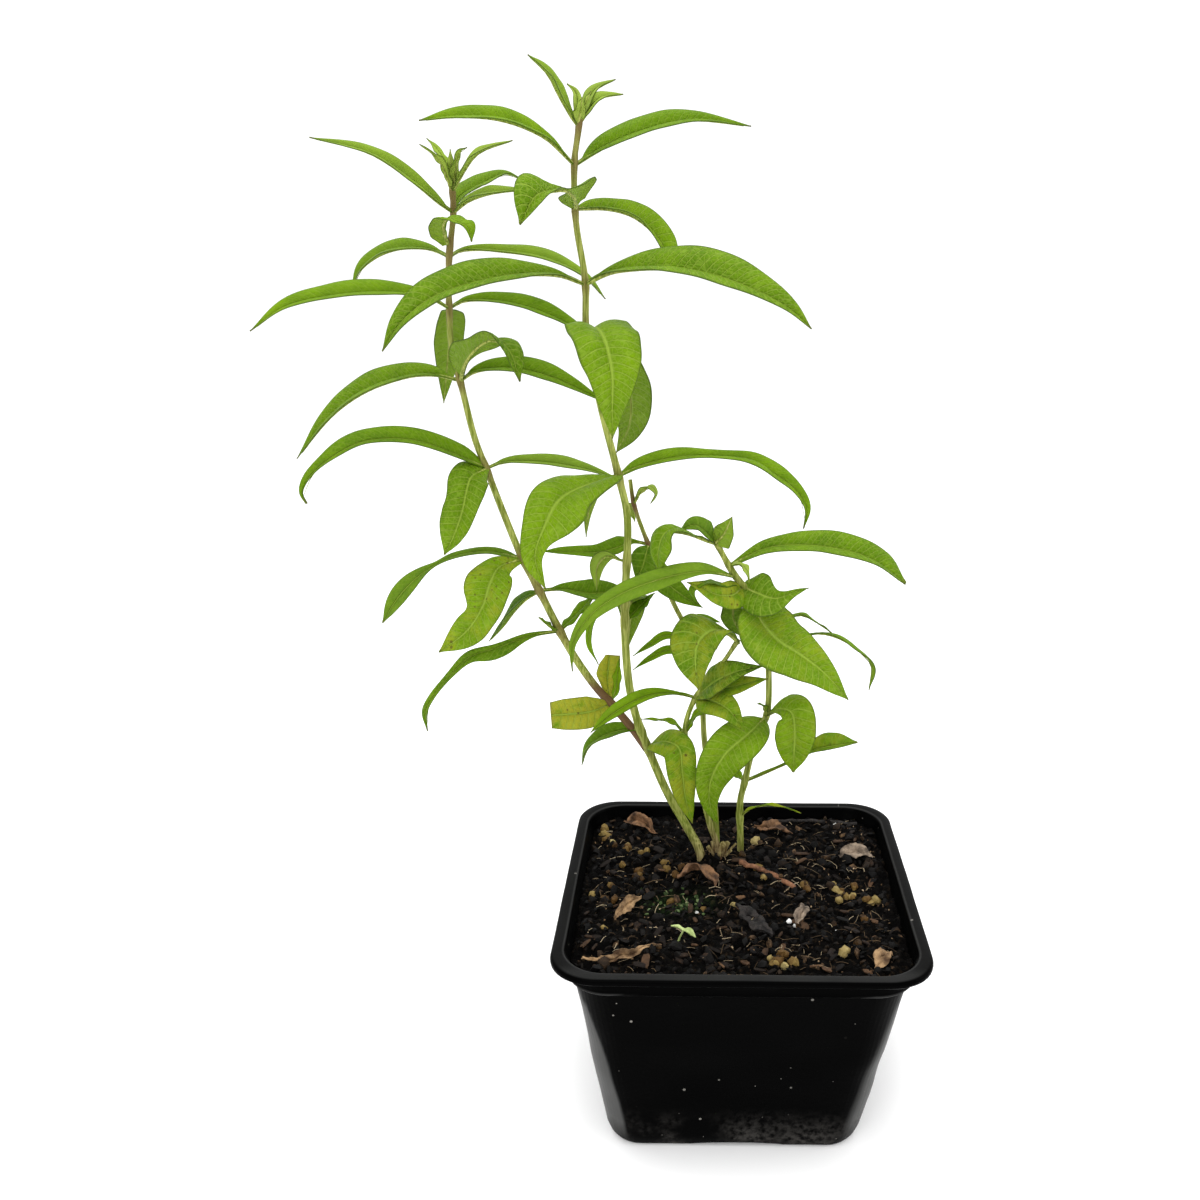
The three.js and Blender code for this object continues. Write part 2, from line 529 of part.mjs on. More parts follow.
const MIDDLE_FOOT = [-6, 25.5];
const MIDDLE_RADIUS = 0.95;
const middleRoute = [
  ...standing(MIDDLE_FOOT), [-7, 25, 78], [-10, 26, 96], [-11, 27, 111], [-13, 28, 126],
  [-20, 28, 141], [-27, 28, 158], [-31, 27, 170], [-32, 27, 177],
];
const middleWhorls = [
  { on: [-31, 27, 170], blades: [
    { rib: [[2, -2, 4], [5, -3, 5.5], [6.5, -4, 4], [5, -4, 1]], wide: 3 },
    { rib: [[-1, 3, -1], [0, 4, -6]], wide: 3 },
  ] },
  { on: [-27, 28, 158], blades: [
    { rib: [[-4.5, 1, 0.5], [-9, 2, -1.5], [-14.5, 4, -3.5], [-22, 6, -4],
        [-32, 8, -4.5]], wide: 7, roll: -50, fold: 0.2,
      left: [0.1, 0.15, 0.7, 0.6, 0.5, 0.4, 0.3, 0.2, 0],
      right: [0.1, 0.15, 1, 0.95, 0.7, 0.6, 0.5, 0.35, 0] },
    { rib: [[3.5, -3, -8.5], [8.5, -4, -13], [16, -5, -17.5]], wide: 7, roll: 60, fold: 0.1 },
    { rib: [[-0.5, -3, -2], [-1.5, -4, -5.5], [-3.5, -4, -9.5]], wide: 8, roll: -40, fold: 0.14 },
  ] },
  { on: [-15, 28, 129], blades: [
    { rib: [[-7, -2, 2], [-11.5, -3, -0.5], [-16.5, -5, -3.5]], wide: 2.6, roll: -50, fold: 0.1 },
    { rib: [[0.5, -2, 5], [4, -3, 7], [9, -4, 7]], wide: 5, roll: 20 },
  ] },
  { on: [-13, 28, 123], blades: [
    { rib: [[-8, -2, 3.5], [-13.5, -4, 1.5], [-18.5, -6, -1.5]], wide: 2.8, roll: -50, fold: 0.1 },
  ] },
];

function middleStem() {
  const wood = shoot(middleRoute, MIDDLE_RADIUS, 0.5);
  return mesh('middle_stem', join([wood, ...leaves(middleWhorls)]), darkerLeaf);
}

// ---- the short stem and the cut woody stubs at its foot -------------------------------------

const SHORT_FOOT = [-5.5, 19.5];
const CROWN_RADIUS = 2.2;
const shortRoute = [
  ...standing(SHORT_FOOT), [-8, 18, 72], [-11, 17, 85], [-16, 15, 104], [-13, 14, 116],
  [-5, 12, 128], [-1, 11, 135],
];
const stubTips = [[-4, 16, 68], [-2.5, 19.5, 66.5], [-7, 21, 65.5]];
const shortWhorls = [
  { on: [-16, 15, 104], blades: [
    { rib: [[-3, 2.5, 2.6], [-7.5, 4, 3], [-13, 4.5, 3]], wide: 2.5 },
    { rib: [[3.5, 1, 6], [9.5, 2, 9]], wide: 4.5 },
  ] },
  { on: [-13, 14, 116], blades: [
    { rib: [[-4.5, -3, 2.5], [-11.5, -6, 3.5], [-17, -9, 2.5], [-23.5, -11, -1], [-29.5, -12, -6]],
      wide: 4.6, roll: -30, full: 1.3 },
    { rib: [[5.5, -4, 6.5], [12, -7, 11], [19, -8, 13]], wide: 11, roll: 40, fold: 0.14,
      left: [0.1, 0.6, 1, 1, 0.7, 0.3, 0], right: [0.1, 0.6, 1, 0.9, 0.6, 0.3, 0] },
    { rib: [[7.5, -3, 4], [14, -5, 6.5], [20.5, -6, 8.5]], wide: 7, roll: 40, fold: 0.14 },
    { rib: [[5, -5, 1], [9.5, -9, 0], [14, -10, -6]], wide: 9.5, roll: 40, fold: 0.14, full: 0.6 },
  ] },
  { on: [-1, 11, 134], blades: [
    { rib: [[-2.5, -3, 4], [-7.5, -6, 5.5], [-11, -8, 3], [-12, -10, -1.5], [-11, -10, -10.5]],
      wide: 13.5, roll: [0, 0, -20, -50, -50], fold: 0.14,
      left: [0.1, 0.15, 0.3, 0.7, 0.9, 0.9, 0.8, 0.65, 0.45, 0.25, 0],
      right: [0.1, 0.15, 0.4, 0.9, 1.25, 1.25, 1.15, 0.9, 0.6, 0.3, 0] },
  ] },
];

function shortStem() {
  const root = [...SHORT_FOOT, SOIL_LEVEL - STEM_SUNK];
  const crown = shoot([root, [...SHORT_FOOT, SOIL_LEVEL + 0.5]], CROWN_RADIUS, CROWN_RADIUS * 0.8);
  const middle = [...SHORT_FOOT, SOIL_LEVEL - 2];
  const stubs = stubTips.map((tip) => shoot([middle, tip], 1.3, 1));
  const wood = [shoot(shortRoute, 1.1, 0.6), crown, ...stubs];
  return mesh('short_stem', join([...wood, ...leaves(shortWhorls)]), freshLeaf);
}

// ---- the right stem -------------------------------------------------------------------------

const RIGHT_FOOT = [1.5, 23];
const RIGHT_RADIUS = 1.15;
const rightRoute = [
  ...standing(RIGHT_FOOT), [1, 20, 80], [2, 19, 86], [5, 17, 102], [8, 16, 110], [8, 15, 126],
  [7, 14, 138], [2, 13, 148], [-2, 12, 153], [-6, 11, 160], [-8, 10, 164],
];
const rightWhorls = [
  { on: [-8, 10, 163], blades: [
    { rib: [[-4, -3, 2.5], [-8.5, -6, 4.5], [-13, -8, 5], [-15, -9, 1], [-15, -10, -5.5]],
      wide: 9.4, left: [0.1, 0.15, 0.2, 0.3, 0.8, 1, 1.1, 1.4, 1.5, 0.9, 0],
      right: [0.1, 0.15, 0.2, 0.3, 0.8, 1, 1, 0.9, 0.7, 0.4, 0] },
    { rib: [[-2.5, -2, 3.5], [-5.5, -2, 5.5], [-9.5, -3, 4.5]], wide: 6, roll: -40 },
    { rib: [[2.5, -3, 3.5], [4.5, -4, 8.5]], wide: 7.5, roll: -70, fold: 0.1,
      left: [0.3, 1, 0.8, 0.6, 0.3, 0], right: [0.3, 0.7, 0.9, 0.8, 0.4, 0] },
  ] },
  { on: [-4, 12, 156], blades: [
    { rib: [[10, 3, 4.5], [20, 5, 5], [31.5, 8, 3], [40.5, 9, 0], [51, 10, -7.5]], wide: 10,
      roll: 30, left: [0.1, 0.3, 0.5, 0.75, 0.9, 1, 0.95, 0.85, 0.1],
      right: [0.1, 0.5, 0.8, 0.9, 1, 1, 0.9, 0.7, 0] },
    { rib: [[2.5, -2, 1.5], [5, -3, -0.5], [5.5, -3, -4]], wide: 3 },
  ] },
  { on: [-2, 12, 153], blades: [
    { rib: [[-10, -9, 4], [-22, -15, 3], [-32, -20, 0], [-39, -22, -5], [-43, -23, -11.5],
        [-43.5, -24, -15.5], [-43.5, -24, -19.5]], wide: 5.8, roll: [-35, -60, -60, -60, -40],
      fold: 0.25, left: [0.1, 0.1, 0.3, 0.6, 0.95, 1, 0.9, 0.7, 0.5, 0.3, 0],
      right: [0.1, 0.5, 0.85, 1, 1, 0.95, 0.9, 0.75, 0.55, 0.3, 0] },
  ] },
  { on: [0, 13, 150], blades: [
    { rib: [[-3, -5, -1], [-7.5, -8, 0], [-12, -9, 2.5], [-15.5, -10, 4]], wide: 8.5, roll: -60,
      fold: 0.1, left: [0.2, 0.9, 1, 0.9, 0.7, 0.5, 0.3, 0],
      right: [0.2, 0.9, 1, 0.9, 0.7, 0.5, 0.3, 0] },
    { rib: [[-7, -5, 2], [-12, -8, 3], [-14, -9, 1.5], [-12.5, -9, -2.5]], wide: 5 },
    { rib: [[4, -3, -1], [9, -6, -1.5], [14, -8, 1], [17.5, -9, 2.5]], wide: 12, roll: 50,
      fold: 0.1, left: [0.3, 1, 1, 0.6, 0.35, 0.2, 0.12, 0],
      right: [0.3, 0.9, 1.1, 1.1, 0.8, 0.4, 0.2, 0] },
  ] },
  { on: [2, 13, 147], blades: [
    { rib: [[4, -4, -7], [8, -7, -10.5], [14, -10, -13.5], [20.5, -12, -18], [27.5, -13, -25.5]],
      wide: 18, roll: 30, fold: 0.14, left: [0.1, 0.9, 1, 0.92, 0.8, 0.62, 0.44, 0.22, 0],
      right: [0.1, 0.85, 1.1, 1.25, 1.15, 0.9, 0.62, 0.35, 0] },
    { rib: [[-4, 1, -2], [-4.5, 2, -7], [-1.5, 3, -13]], wide: 7 },
  ] },
  { on: [7, 14, 138], blades: [
    { rib: [[10, 5, 2], [16, 7, -1.5], [20.5, 8, -5]], wide: 3 },
  ] },
  { on: [7, 15, 131], blades: [
    { rib: [[14.5, 4, 3.5], [21.5, 6, 1.5], [27, 6, -2], [31.7, 6, -7], [31.2, 5, -14.5]], wide: 4,
      left: [0.1, 0.35, 0.4, 0.5, 0.7, 0.9, 1.3, 1, 0],
      right: [0.1, 0.35, 0.4, 0.5, 0.7, 0.9, 1.2, 1, 0] },
  ] },
  { on: [8, 16, 110], blades: [
    { rib: [[-1, -1, 3.5], [-3, -2, 4.5]], wide: 2.5 },
    { rib: [[3, -5, 4], [6.5, -8, 4], [7.5, -10, -0.8], [7.5, -10.5, -6], [7.5, -10.5, -13.5]],
      wide: 12.5, roll: [25, 30, 37, 37], fold: 0.1, left: [0.1, 0.4, 0.9, 1, 1, 0.95, 0.8, 0.5, 0],
      right: [0.1, 0.15, 0.3, 0.55, 0.85, 0.95, 0.8, 0.5, 0] },
    { rib: [[-5.5, -9, -2], [-12.5, -13, -7], [-16.3, -14, -14.5], [-16.5, -14, -22],
        [-14, -14, -29]], wide: 13, roll: [-20, -45, -45], fold: 0.14, full: 0.65 },
  ] },
  { on: [2, 19, 87], blades: [
    { rib: [[6, 0, 3], [15, -2, 8.5], [20.5, -3, 12], [27.5, -4, 14], [33, -4, 15]], wide: 8,
      roll: 25, left: [0.1, 0.1, 0.1, 0.12, 0.15, 0.65, 1.05, 0.85, 0],
      right: [0.1, 0.1, 0.1, 0.12, 0.15, 0.3, 0.5, 0.35, 0] },
    { rib: [[-2.5, 3, 1.5], [-5, 5, 4]], wide: 3 },
  ] },
  { on: [1, 21, 74], blades: [
    { rib: [[3, -1, 3.5], [6.5, -2, 5], [12, -3, 5.5], [18.5, -4, 3.5]], wide: 1.2 },
  ] },
];

function rightStem() {
  const wood = shoot(rightRoute, RIGHT_RADIUS, 0.75);
  return mesh('right_stem', join([wood, ...leaves(rightWhorls)]), freshLeaf);
}

// ---- what lies on the soil ------------------------------------------------------------------

// A spot on the soil as a point: [x, y, how far above the ground].
const over = ([x, y, lift]) => [x, y, ground(x, y) + lift];

function fallenLeaf(name, spots, wide, roll, material = deadLeaf) {
  const [on, ...others] = spots.map(over);
  const rib = others.map((point) => point.map((value, axis) => value - on[axis]));
  return mesh(name, blade({ on, rib, wide, roll, fold: 0.5 }), material);
}

const fallenStick = (name, spots, radius, material) =>
  mesh(name, shoot(spots.map(over), radius, radius * 0.7), material);

function litter() {
  return [
    fallenLeaf('dry_leaf_left', [[-35, -17, 2], [-31, -9, 2.6], [-28, -1, 2]], 6, 15),
    fallenLeaf('dry_leaf_middle', [[-17, 5, 2], [-11, 8, 3], [-7, 1, 2]], 6, 0),
    fallenLeaf('dry_leaf_front', [[-41, -35, 2], [-36, -39, 2], [-29, -37, 2.6], [-21, -30, 2]], 4, 0),
    fallenLeaf('dry_leaf_corner', [[35, -41, 2], [40, -34, 2.4]], 4, 0),
    fallenLeaf('dry_leaf_right', [[32, 20, 2], [37, 19, 3], [42, 17, 2]], 6, 0),
    fallenLeaf('dry_leaf_back', [[7, 38, 2], [13, 41, 3], [18, 34, 2]], 5, 0),
    fallenLeaf('dry_leaf_back_left', [[-36, 41, 2], [-31, 39, 3], [-26, 33, 2]], 5, 0),
    fallenLeaf('dry_curl', [[17, -20, 2], [19, -10, 2.4]], 4, 0),
    fallenLeaf('bark_chip', [[0, -10, 2], [4, -17, 2], [9, -24, 2]], 7, 0, darkBark),
    fallenStick('reddish_stick', [[1, 13, 1.8], [9, 8, 2], [17, 0, 1.8]], 0.9, reddishWood),
    fallenStick('dark_twig', [[11, 42.5, 1.6], [26, 43, 1.8], [40, 41, 1.6]], 0.7, darkBark),
  ];
}

// a seedling with two small leaves
const SPROUT_FOOT = [-16, -29];
const SPROUT_RADIUS = 0.5;

function seedling() {
  const base = [...SPROUT_FOOT, SOIL_LEVEL - 4];
  const head = [SPROUT_FOOT[0] - 0.5, SPROUT_FOOT[1], SOIL_LEVEL + 5];
  const pair = leaves([{ on: head, blades: [
    { rib: [[-2, 0.5, 1.5], [-4, 1, 1.5]], wide: 3 },
    { rib: [[2, -0.5, 1], [4, -1, 0]], wide: 3 },
  ] }]);
  return mesh('seedling', join([shoot([base, head], SPROUT_RADIUS, 0.4), ...pair]), paleSprout);
}

// ---- the whole plant ------------------------------------------------------------------------

const holes = [
  plainHole(TALL_FOOT, TALL_RADIUS + 0.5),
  plainHole(MIDDLE_FOOT, MIDDLE_RADIUS + 0.5),
  plainHole(SHORT_FOOT, CROWN_RADIUS + 0.5),
  plainHole(RIGHT_FOOT, RIGHT_RADIUS + 0.5),
  plainHole(SPROUT_FOOT, SPROUT_RADIUS + 0.4),
];

const group = new THREE.Group();
group.add(pot(), soil(holes));
group.add(tallStem(), middleStem(), shortStem(), rightStem());
group.add(...litter(), seedling());

export default group;
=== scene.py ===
# %% [markdown]
# # A young lemon verbena in a square nursery pot
#
# This lesson dresses a finished solid model of a potted herb. The solids give the places and the outer
# sizes. Here each of them gets a finer piece and a finish: the moulded pot, the soil with its crumbs and dead
# leaves, the ribbed stems, and nearly ninety long, thin, veined leaves. All lengths in the lists are
# millimetres, as a gardener would give them, and become metres where a mesh is made.

# %% Load the solids
import math
import random

import bpy
import numpy as np
from mathutils import Euler, Matrix, Vector, noise


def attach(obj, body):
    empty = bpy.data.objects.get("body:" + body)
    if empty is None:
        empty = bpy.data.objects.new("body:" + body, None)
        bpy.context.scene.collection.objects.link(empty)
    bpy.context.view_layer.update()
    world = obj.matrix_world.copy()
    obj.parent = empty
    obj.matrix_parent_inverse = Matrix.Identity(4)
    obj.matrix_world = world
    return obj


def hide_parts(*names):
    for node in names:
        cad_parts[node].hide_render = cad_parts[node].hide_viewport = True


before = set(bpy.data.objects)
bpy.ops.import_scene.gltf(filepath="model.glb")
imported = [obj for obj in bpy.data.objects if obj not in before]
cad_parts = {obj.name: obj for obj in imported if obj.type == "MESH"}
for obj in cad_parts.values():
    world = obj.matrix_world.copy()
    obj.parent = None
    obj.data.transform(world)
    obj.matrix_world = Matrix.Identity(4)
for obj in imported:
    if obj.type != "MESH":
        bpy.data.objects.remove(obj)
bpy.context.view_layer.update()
MM = 0.001
NOISE_SEED = 11                # noise_vector follows the clock unless it is given a seed
noise.seed_set(NOISE_SEED)

# %% [markdown]
# ## The camera
#
# A plant on a table is seen from a little above, so that the soil and the leaves' upper sides both show. A
# short distance with a wide lens gives the strong taper of the pot. The camera could be aimed at the plant
# with a Track To constraint, but plain angles are easier to read, and they allow the view's slight tilt.

# %% Camera
CAMERA_PLACE = (-0.0123, -0.3023, 0.2422)
CAMERA_DOWN = math.radians(20)
CAMERA_TILT = math.radians(0.56)

turn = Matrix.Rotation(math.pi / 2 - CAMERA_DOWN, 3, "X") @ Matrix.Rotation(CAMERA_TILT, 3, "Z")
bpy.ops.object.camera_add(location=CAMERA_PLACE, rotation=turn.to_euler())
camera = bpy.context.object
camera.name = "camera"
camera.data.sensor_width = 36
camera.data.lens = 35.22
camera.data.shift_x = -0.0817
camera.data.shift_y = 0.0517
camera.data.clip_start = 0.01
bpy.context.scene.camera = camera
bpy.context.scene.view_settings.view_transform = "Standard"
print("camera at", CAMERA_PLACE, "looking", round(math.degrees(CAMERA_DOWN)), "degrees down")

# %% [markdown]
# ## Light and floor
#
# The plant stands in a white tent: light comes from all round, a little more from above. A white world gives
# the even light, and three large soft lamps give the leaves their form. The floor is one pale plane.

# %% Soft light
def soft_lamp(name, place, aim, size, watts):
    """A square lamp of that size, turned towards the point aim."""
    facing = (Vector(aim) - Vector(place)).to_track_quat("-Z", "Y")
    bpy.ops.object.light_add(type="AREA", location=place, rotation=facing.to_euler())
    lamp = bpy.context.object
    lamp.name = name
    lamp.data.size = size
    lamp.data.energy = watts
    return lamp


WORLD_STRENGTH = 1.22

world = bpy.data.worlds.new("white tent")
bpy.context.scene.world = world
world.use_nodes = True
world.node_tree.nodes["Background"].inputs["Color"].default_value = (1, 1, 1, 1)
world.node_tree.nodes["Background"].inputs["Strength"].default_value = WORLD_STRENGTH

plant_middle = (-0.03, 0, 0.15)
soft_lamp("front lamp", (-0.25, -0.8, 0.7), plant_middle, 0.6, 3.0)
soft_lamp("side lamp", (0.75, -0.1, 0.5), plant_middle, 0.4, 1.2)
soft_lamp("top lamp", (-0.1, 0.05, 1.2), plant_middle, 0.8, 8.0)

# %% [markdown]
# ## Tools for the bench
#
# A few helpers keep every later step short: one that picks a single piece, one that adds a modifier and
# applies it at once, and some that add shader nodes. A modifier that is applied leaves a plain mesh, which is
# what the other tools downstream can read.

# %% Picking, editing and modifiers
def pick(piece):
    """Deselects all, then selects this piece and makes it the active one."""
    bpy.ops.object.select_all(action="DESELECT")
    piece.select_set(True)
    bpy.context.view_layer.objects.active = piece
    return piece


def apply_modifier(piece, kind, **settings):
    """Adds a modifier with these settings and applies it."""
    pick(piece)
    step = piece.modifiers.new(kind.lower(), kind)
    for setting, value in settings.items():
        setattr(step, setting, value)
    bpy.ops.object.modifier_apply(modifier=step.name)
    return piece


def positions(piece):
    """The piece's vertices as an array of millimetres."""
    flat = np.empty(len(piece.data.vertices) * 3)
    piece.data.vertices.foreach_get("co", flat)
    return flat.reshape(-1, 3) / MM


def move_vertices(piece, places):
    """Puts the piece's vertices at these places, in millimetres."""
    piece.data.vertices.foreach_set("co", (np.asarray(places) * MM).ravel())
    piece.data.update()


def paint(piece, name, values):
    """Stores one number for each vertex under this name, for a material to read."""
    layer = piece.data.attributes.get(name) or piece.data.attributes.new(name, "FLOAT", "POINT")
    values = np.broadcast_to(np.asarray(values, np.float32), len(piece.data.vertices))
    layer.data.foreach_set("value", np.ascontiguousarray(values))


def join_pieces(name, pieces):
    """Joins the pieces into one, at the origin and unturned."""
    bpy.ops.object.select_all(action="DESELECT")
    for piece in pieces:
        piece.select_set(True)
    bpy.context.view_layer.objects.active = pieces[0]
    bpy.ops.object.join()
    whole = bpy.context.object
    whole.name = whole.data.name = name
    bpy.ops.object.transform_apply(location=True, rotation=True, scale=True)
    return whole


def hand_over(piece, slot, *nodes):
    """Says what the finished piece moves with and hides the solids it stands for. slot, the name of its
    finish, is not used.
    """
    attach(piece, "root")
    if nodes:
        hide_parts(*nodes)
    size = [round(side / MM) for side in piece.dimensions]
    print(piece.name, "is", size, "mm, with", len(piece.data.polygons), "faces")


# %% Shader nodes
def new_finish(name):
    """A new material and its main shader."""
    finish = bpy.data.materials.new(name)
    finish.use_nodes = True
    return finish, finish.node_tree.nodes["Principled BSDF"]


def add_node(finish, kind, inputs, **settings):
    """Adds a node. inputs maps its sockets to plain values or to the sockets that feed them."""
    added = finish.node_tree.nodes.new("ShaderNode" + kind)
    for setting, value in settings.items():
        setattr(added, setting, value)
    for socket, value in inputs.items():
        if isinstance(value, bpy.types.NodeSocket):
            finish.node_tree.links.new(value, added.inputs[socket])
        else:
            added.inputs[socket].default_value = value
    return added


def sum_of(finish, operation, *values):
    """The result of a Math node."""
    return add_node(finish, "Math", dict(enumerate(values)), operation=operation).outputs[0]


def blended(finish, share, first, second, mode="MIX"):
    """A colour between first and second, by share."""
    inputs = {"Factor": share, "A": first, "B": second}
    mixer = finish.node_tree.nodes.new("ShaderNodeMix")
    mixer.data_type = "RGBA"
    mixer.blend_type = mode
    colour_sockets = {"Factor": mixer.inputs[0], "A": mixer.inputs[6], "B": mixer.inputs[7]}
    for name, value in inputs.items():
        if isinstance(value, bpy.types.NodeSocket):
            finish.node_tree.links.new(value, colour_sockets[name])
        else:
            colour_sockets[name].default_value = value
    return mixer.outputs[2]


def between(finish, value, low, high):
    """0 where value is under low, 1 over high, and a smooth step between."""
    inputs = {"Value": value, "From Min": low, "From Max": high}
    return add_node(finish, "MapRange", inputs, interpolation_type="SMOOTHSTEP").outputs[0]


def stored(finish, name):
    """A number that paint() stored on the vertices."""
    return add_node(finish, "Attribute", {}, attribute_name=name).outputs["Fac"]


def object_place(finish):
    """The place on the object, in metres."""
    return add_node(finish, "TexCoord", {}).outputs["Object"]


def noise_over(finish, place, scale, detail=4.0, rough=0.55):
    """A soft random value from 0 to 1 whose lumps are about 1 / scale metres across."""
    inputs = {"Vector": place, "Scale": scale, "Detail": detail, "Roughness": rough}
    return add_node(finish, "TexNoise", inputs).outputs["Fac"]


def set_bump(finish, shader, height, depth):
    """Raises the surface by up to depth metres where height is 1."""
    bump = add_node(finish, "Bump", {"Height": height, "Distance": depth, "Strength": 1.0})
    finish.node_tree.links.new(bump.outputs["Normal"], shader.inputs["Normal"])


def feed(finish, shader, **sockets):
    """Links sockets to the main shader's inputs, named with _ for each space."""
    for name, socket in sockets.items():
        finish.node_tree.links.new(socket, shader.inputs[name.replace("_", " ").title()])


print("bench tools ready")

# %% The floor
FLOOR_SIZE = 40
FLOOR_DROP = 0.0002            # metres from the pot's foot down to the floor, so that they don't flicker

bpy.ops.mesh.primitive_plane_add(size=FLOOR_SIZE, location=(0, 0, -FLOOR_DROP))
floor = bpy.context.object
floor.name = "floor"
floor_finish, floor_shader = new_finish("pale floor")
floor_shader.inputs["Base Color"].default_value = (0.97, 0.97, 0.97, 1)
floor_shader.inputs["Roughness"].default_value = 0.8
floor_shader.inputs["Specular IOR Level"].default_value = 0.1
floor.data.materials.append(floor_finish)
print("floor", FLOOR_SIZE, "m square")

# %% [markdown]
# ## The pot
#
# The real pot is vacuum formed or injection moulded in thin black plastic: a rounded square with tapered
# walls, a straight collar near the top and a rolled rim that makes it stiff. It could be lofted from curves.
# Extruding one rounded square upwards, over the rim and down again inside follows the mould's own section,
# and leaves an even wall. Plastic this thin never comes out flat, so the walls are bent a little with noise.

# %% The pot's section
POT_HEIGHT = 64.5
LIP_HEIGHT = 2.3
COLLAR_DEPTH = 5.9
WALL = 1.1
POT_FLOOR = 1.6
BASE_HALF, FOOT_HALF, BODY_HALF = 33.9, 38.0, 45.0
COLLAR_HALF, FLANGE_HALF, MOUTH_HALF = 46.2, 50.5, 47.0
FOOT_TOP = 13.3                # the rounding of the foot ends here
CORNER_SHARE = 0.25            # a corner's radius as a share of half the width
RIM_FOOT = POT_HEIGHT - LIP_HEIGHT
COLLAR_FOOT = RIM_FOOT - COLLAR_DEPTH


def steps_between(start, end, count):
    """Levels from start to end, with start left out."""
    start, end = np.array(start), np.array(end)
    return [tuple(start + (end - start) * k / count) for k in range(1, count + 1)]


# every level is half the pot's width and a height, and the lists with small numbers are measured from an edge
body_top = (BODY_HALF, COLLAR_FOOT)
outside = [(34.9, 0.5), (35.6, 1.8), (36.4, 4.4), (37.2, 8.9), (FOOT_HALF, FOOT_TOP)]
outside += steps_between((FOOT_HALF, FOOT_TOP), body_top, 16)
bead = [(-0.1, 0.3), (0.2, 0.7), (0.05, 1.2), (0, 1.7)]
outside += [(COLLAR_HALF + out, COLLAR_FOOT + up) for out, up in bead]
outside += [(COLLAR_HALF + 0.3, RIM_FOOT - 1.0), (COLLAR_HALF + 1.0, RIM_FOOT - 0.4)]
lip = [(-1.2, 0), (-0.4, 0.15), (-0.05, 0.5), (0, 0.9)]
rim = [(FLANGE_HALF + out, RIM_FOOT + up) for out, up in lip]
shoulder = [(0, 1.0), (-0.12, 0.6), (-0.4, 0.28), (-0.85, 0.08), (-1.4, 0)]
rim += [(FLANGE_HALF + out, POT_HEIGHT - down) for out, down in shoulder]
mouth = [(0.8, 0), (0.35, 0.15), (0, 0.5), (-0.2, 1.3)]
rim += [(MOUTH_HALF + out, POT_HEIGHT - down) for out, down in mouth]
inner_top = (BODY_HALF - WALL, COLLAR_FOOT)
inner_foot = (FOOT_HALF - WALL, FOOT_TOP)
inside = [(COLLAR_HALF - WALL, COLLAR_FOOT + 1.5), inner_top, *steps_between(inner_top, inner_foot, 12)]
inside += [(36.2, 8.9), (35.2, 4.4), (BASE_HALF - 0.4, POT_FLOOR)]
print("the section has", len(outside) + len(rim) + len(inside), "levels")

# %% Extrude the section
CORNER_SEGMENTS = 12
SIDE_CUTS = 15

bpy.ops.mesh.primitive_plane_add(size=2 * BASE_HALF * MM)
pot = bpy.context.object
pot.name = pot.data.name = "moulded_pot"
bpy.ops.object.mode_set(mode="EDIT")
bpy.ops.mesh.select_all(action="SELECT")
bpy.ops.mesh.bevel(offset=BASE_HALF * CORNER_SHARE * MM, segments=CORNER_SEGMENTS, affect="VERTICES")
bpy.ops.object.mode_set(mode="OBJECT")
for edge in pot.data.edges:
    start, end = (pot.data.vertices[v].co for v in edge.vertices)
    edge.select = (start - end).length > BASE_HALF * MM
bpy.ops.object.mode_set(mode="EDIT")
bpy.ops.mesh.select_mode(type="EDGE")
bpy.ops.mesh.subdivide(number_cuts=SIDE_CUTS)
bpy.ops.mesh.select_mode(type="FACE")
bpy.ops.mesh.select_all(action="SELECT")
half, height = BASE_HALF, 0.0
for next_half, next_height in outside + rim + inside:
    lift = {"value": (0, 0, (next_height - height) * MM)}
    bpy.ops.mesh.extrude_region_move(TRANSFORM_OT_translate=lift)
    grow = next_half / half
    bpy.ops.transform.resize(value=(grow, grow, 1), center_override=(0, 0, 0))
    half, height = next_half, next_height
bpy.ops.mesh.select_all(action="SELECT")
bpy.ops.mesh.normals_make_consistent(inside=False)
bpy.ops.object.mode_set(mode="OBJECT")
print("pot shell:", len(pot.data.polygons), "faces")

# %% [markdown]
# The black plastic shows grey highlights on its rounded corners, along the bead of the collar and at the
# mouth, and dust and a highlight lie on the rim's top. They are painted into its colour as painted
# highlights: a number on each vertex, worked out from the place on the wall, which the plastic reads. Such a
# mask could also be painted by hand in texture paint.

# %% Paint highlights on the corners and the rim
# painted highlights: grey on the rounded corners, the bead and the mouth, with dust and a painted highlight
# on the rim's top, strongest at the front
RIM_DUST_AND_HIGHLIGHT, FRONT_HIGHLIGHT = 0.06, 0.1
FRONT_HIGHLIGHT_STRIP = (44, 47)         # the painted highlight on the rim grows over this stretch at the front
MOUTH_HIGHLIGHT, BEAD_HIGHLIGHT = 0.25, 0.35
BEAD_HIGHLIGHT_ENDS = (33, 36)           # degrees round from the front or back, where the bead's painted highlight begins
HIGHLIGHT_HEIGHTS = (10, 30, 48, 56)
HIGHLIGHT_STARTS = (39.5, 41.0, 44.5, 50.5)   # where a corner's painted highlight begins at those heights, in the same degrees
HIGHLIGHT_ENDS = (49.5, 53.5)       # and where it fades out
LEFT_FADE, RIGHT_FADE = 1.2, 3.5         # how gradually it begins
HIGHLIGHT_FOOT = (3, 6)             # the painted highlight fades out at the foot between these heights


def rising(value, low, high):
    """0 under low, 1 over high, and a straight slope between."""
    return min(max((value - low) / (high - low), 0), 1)


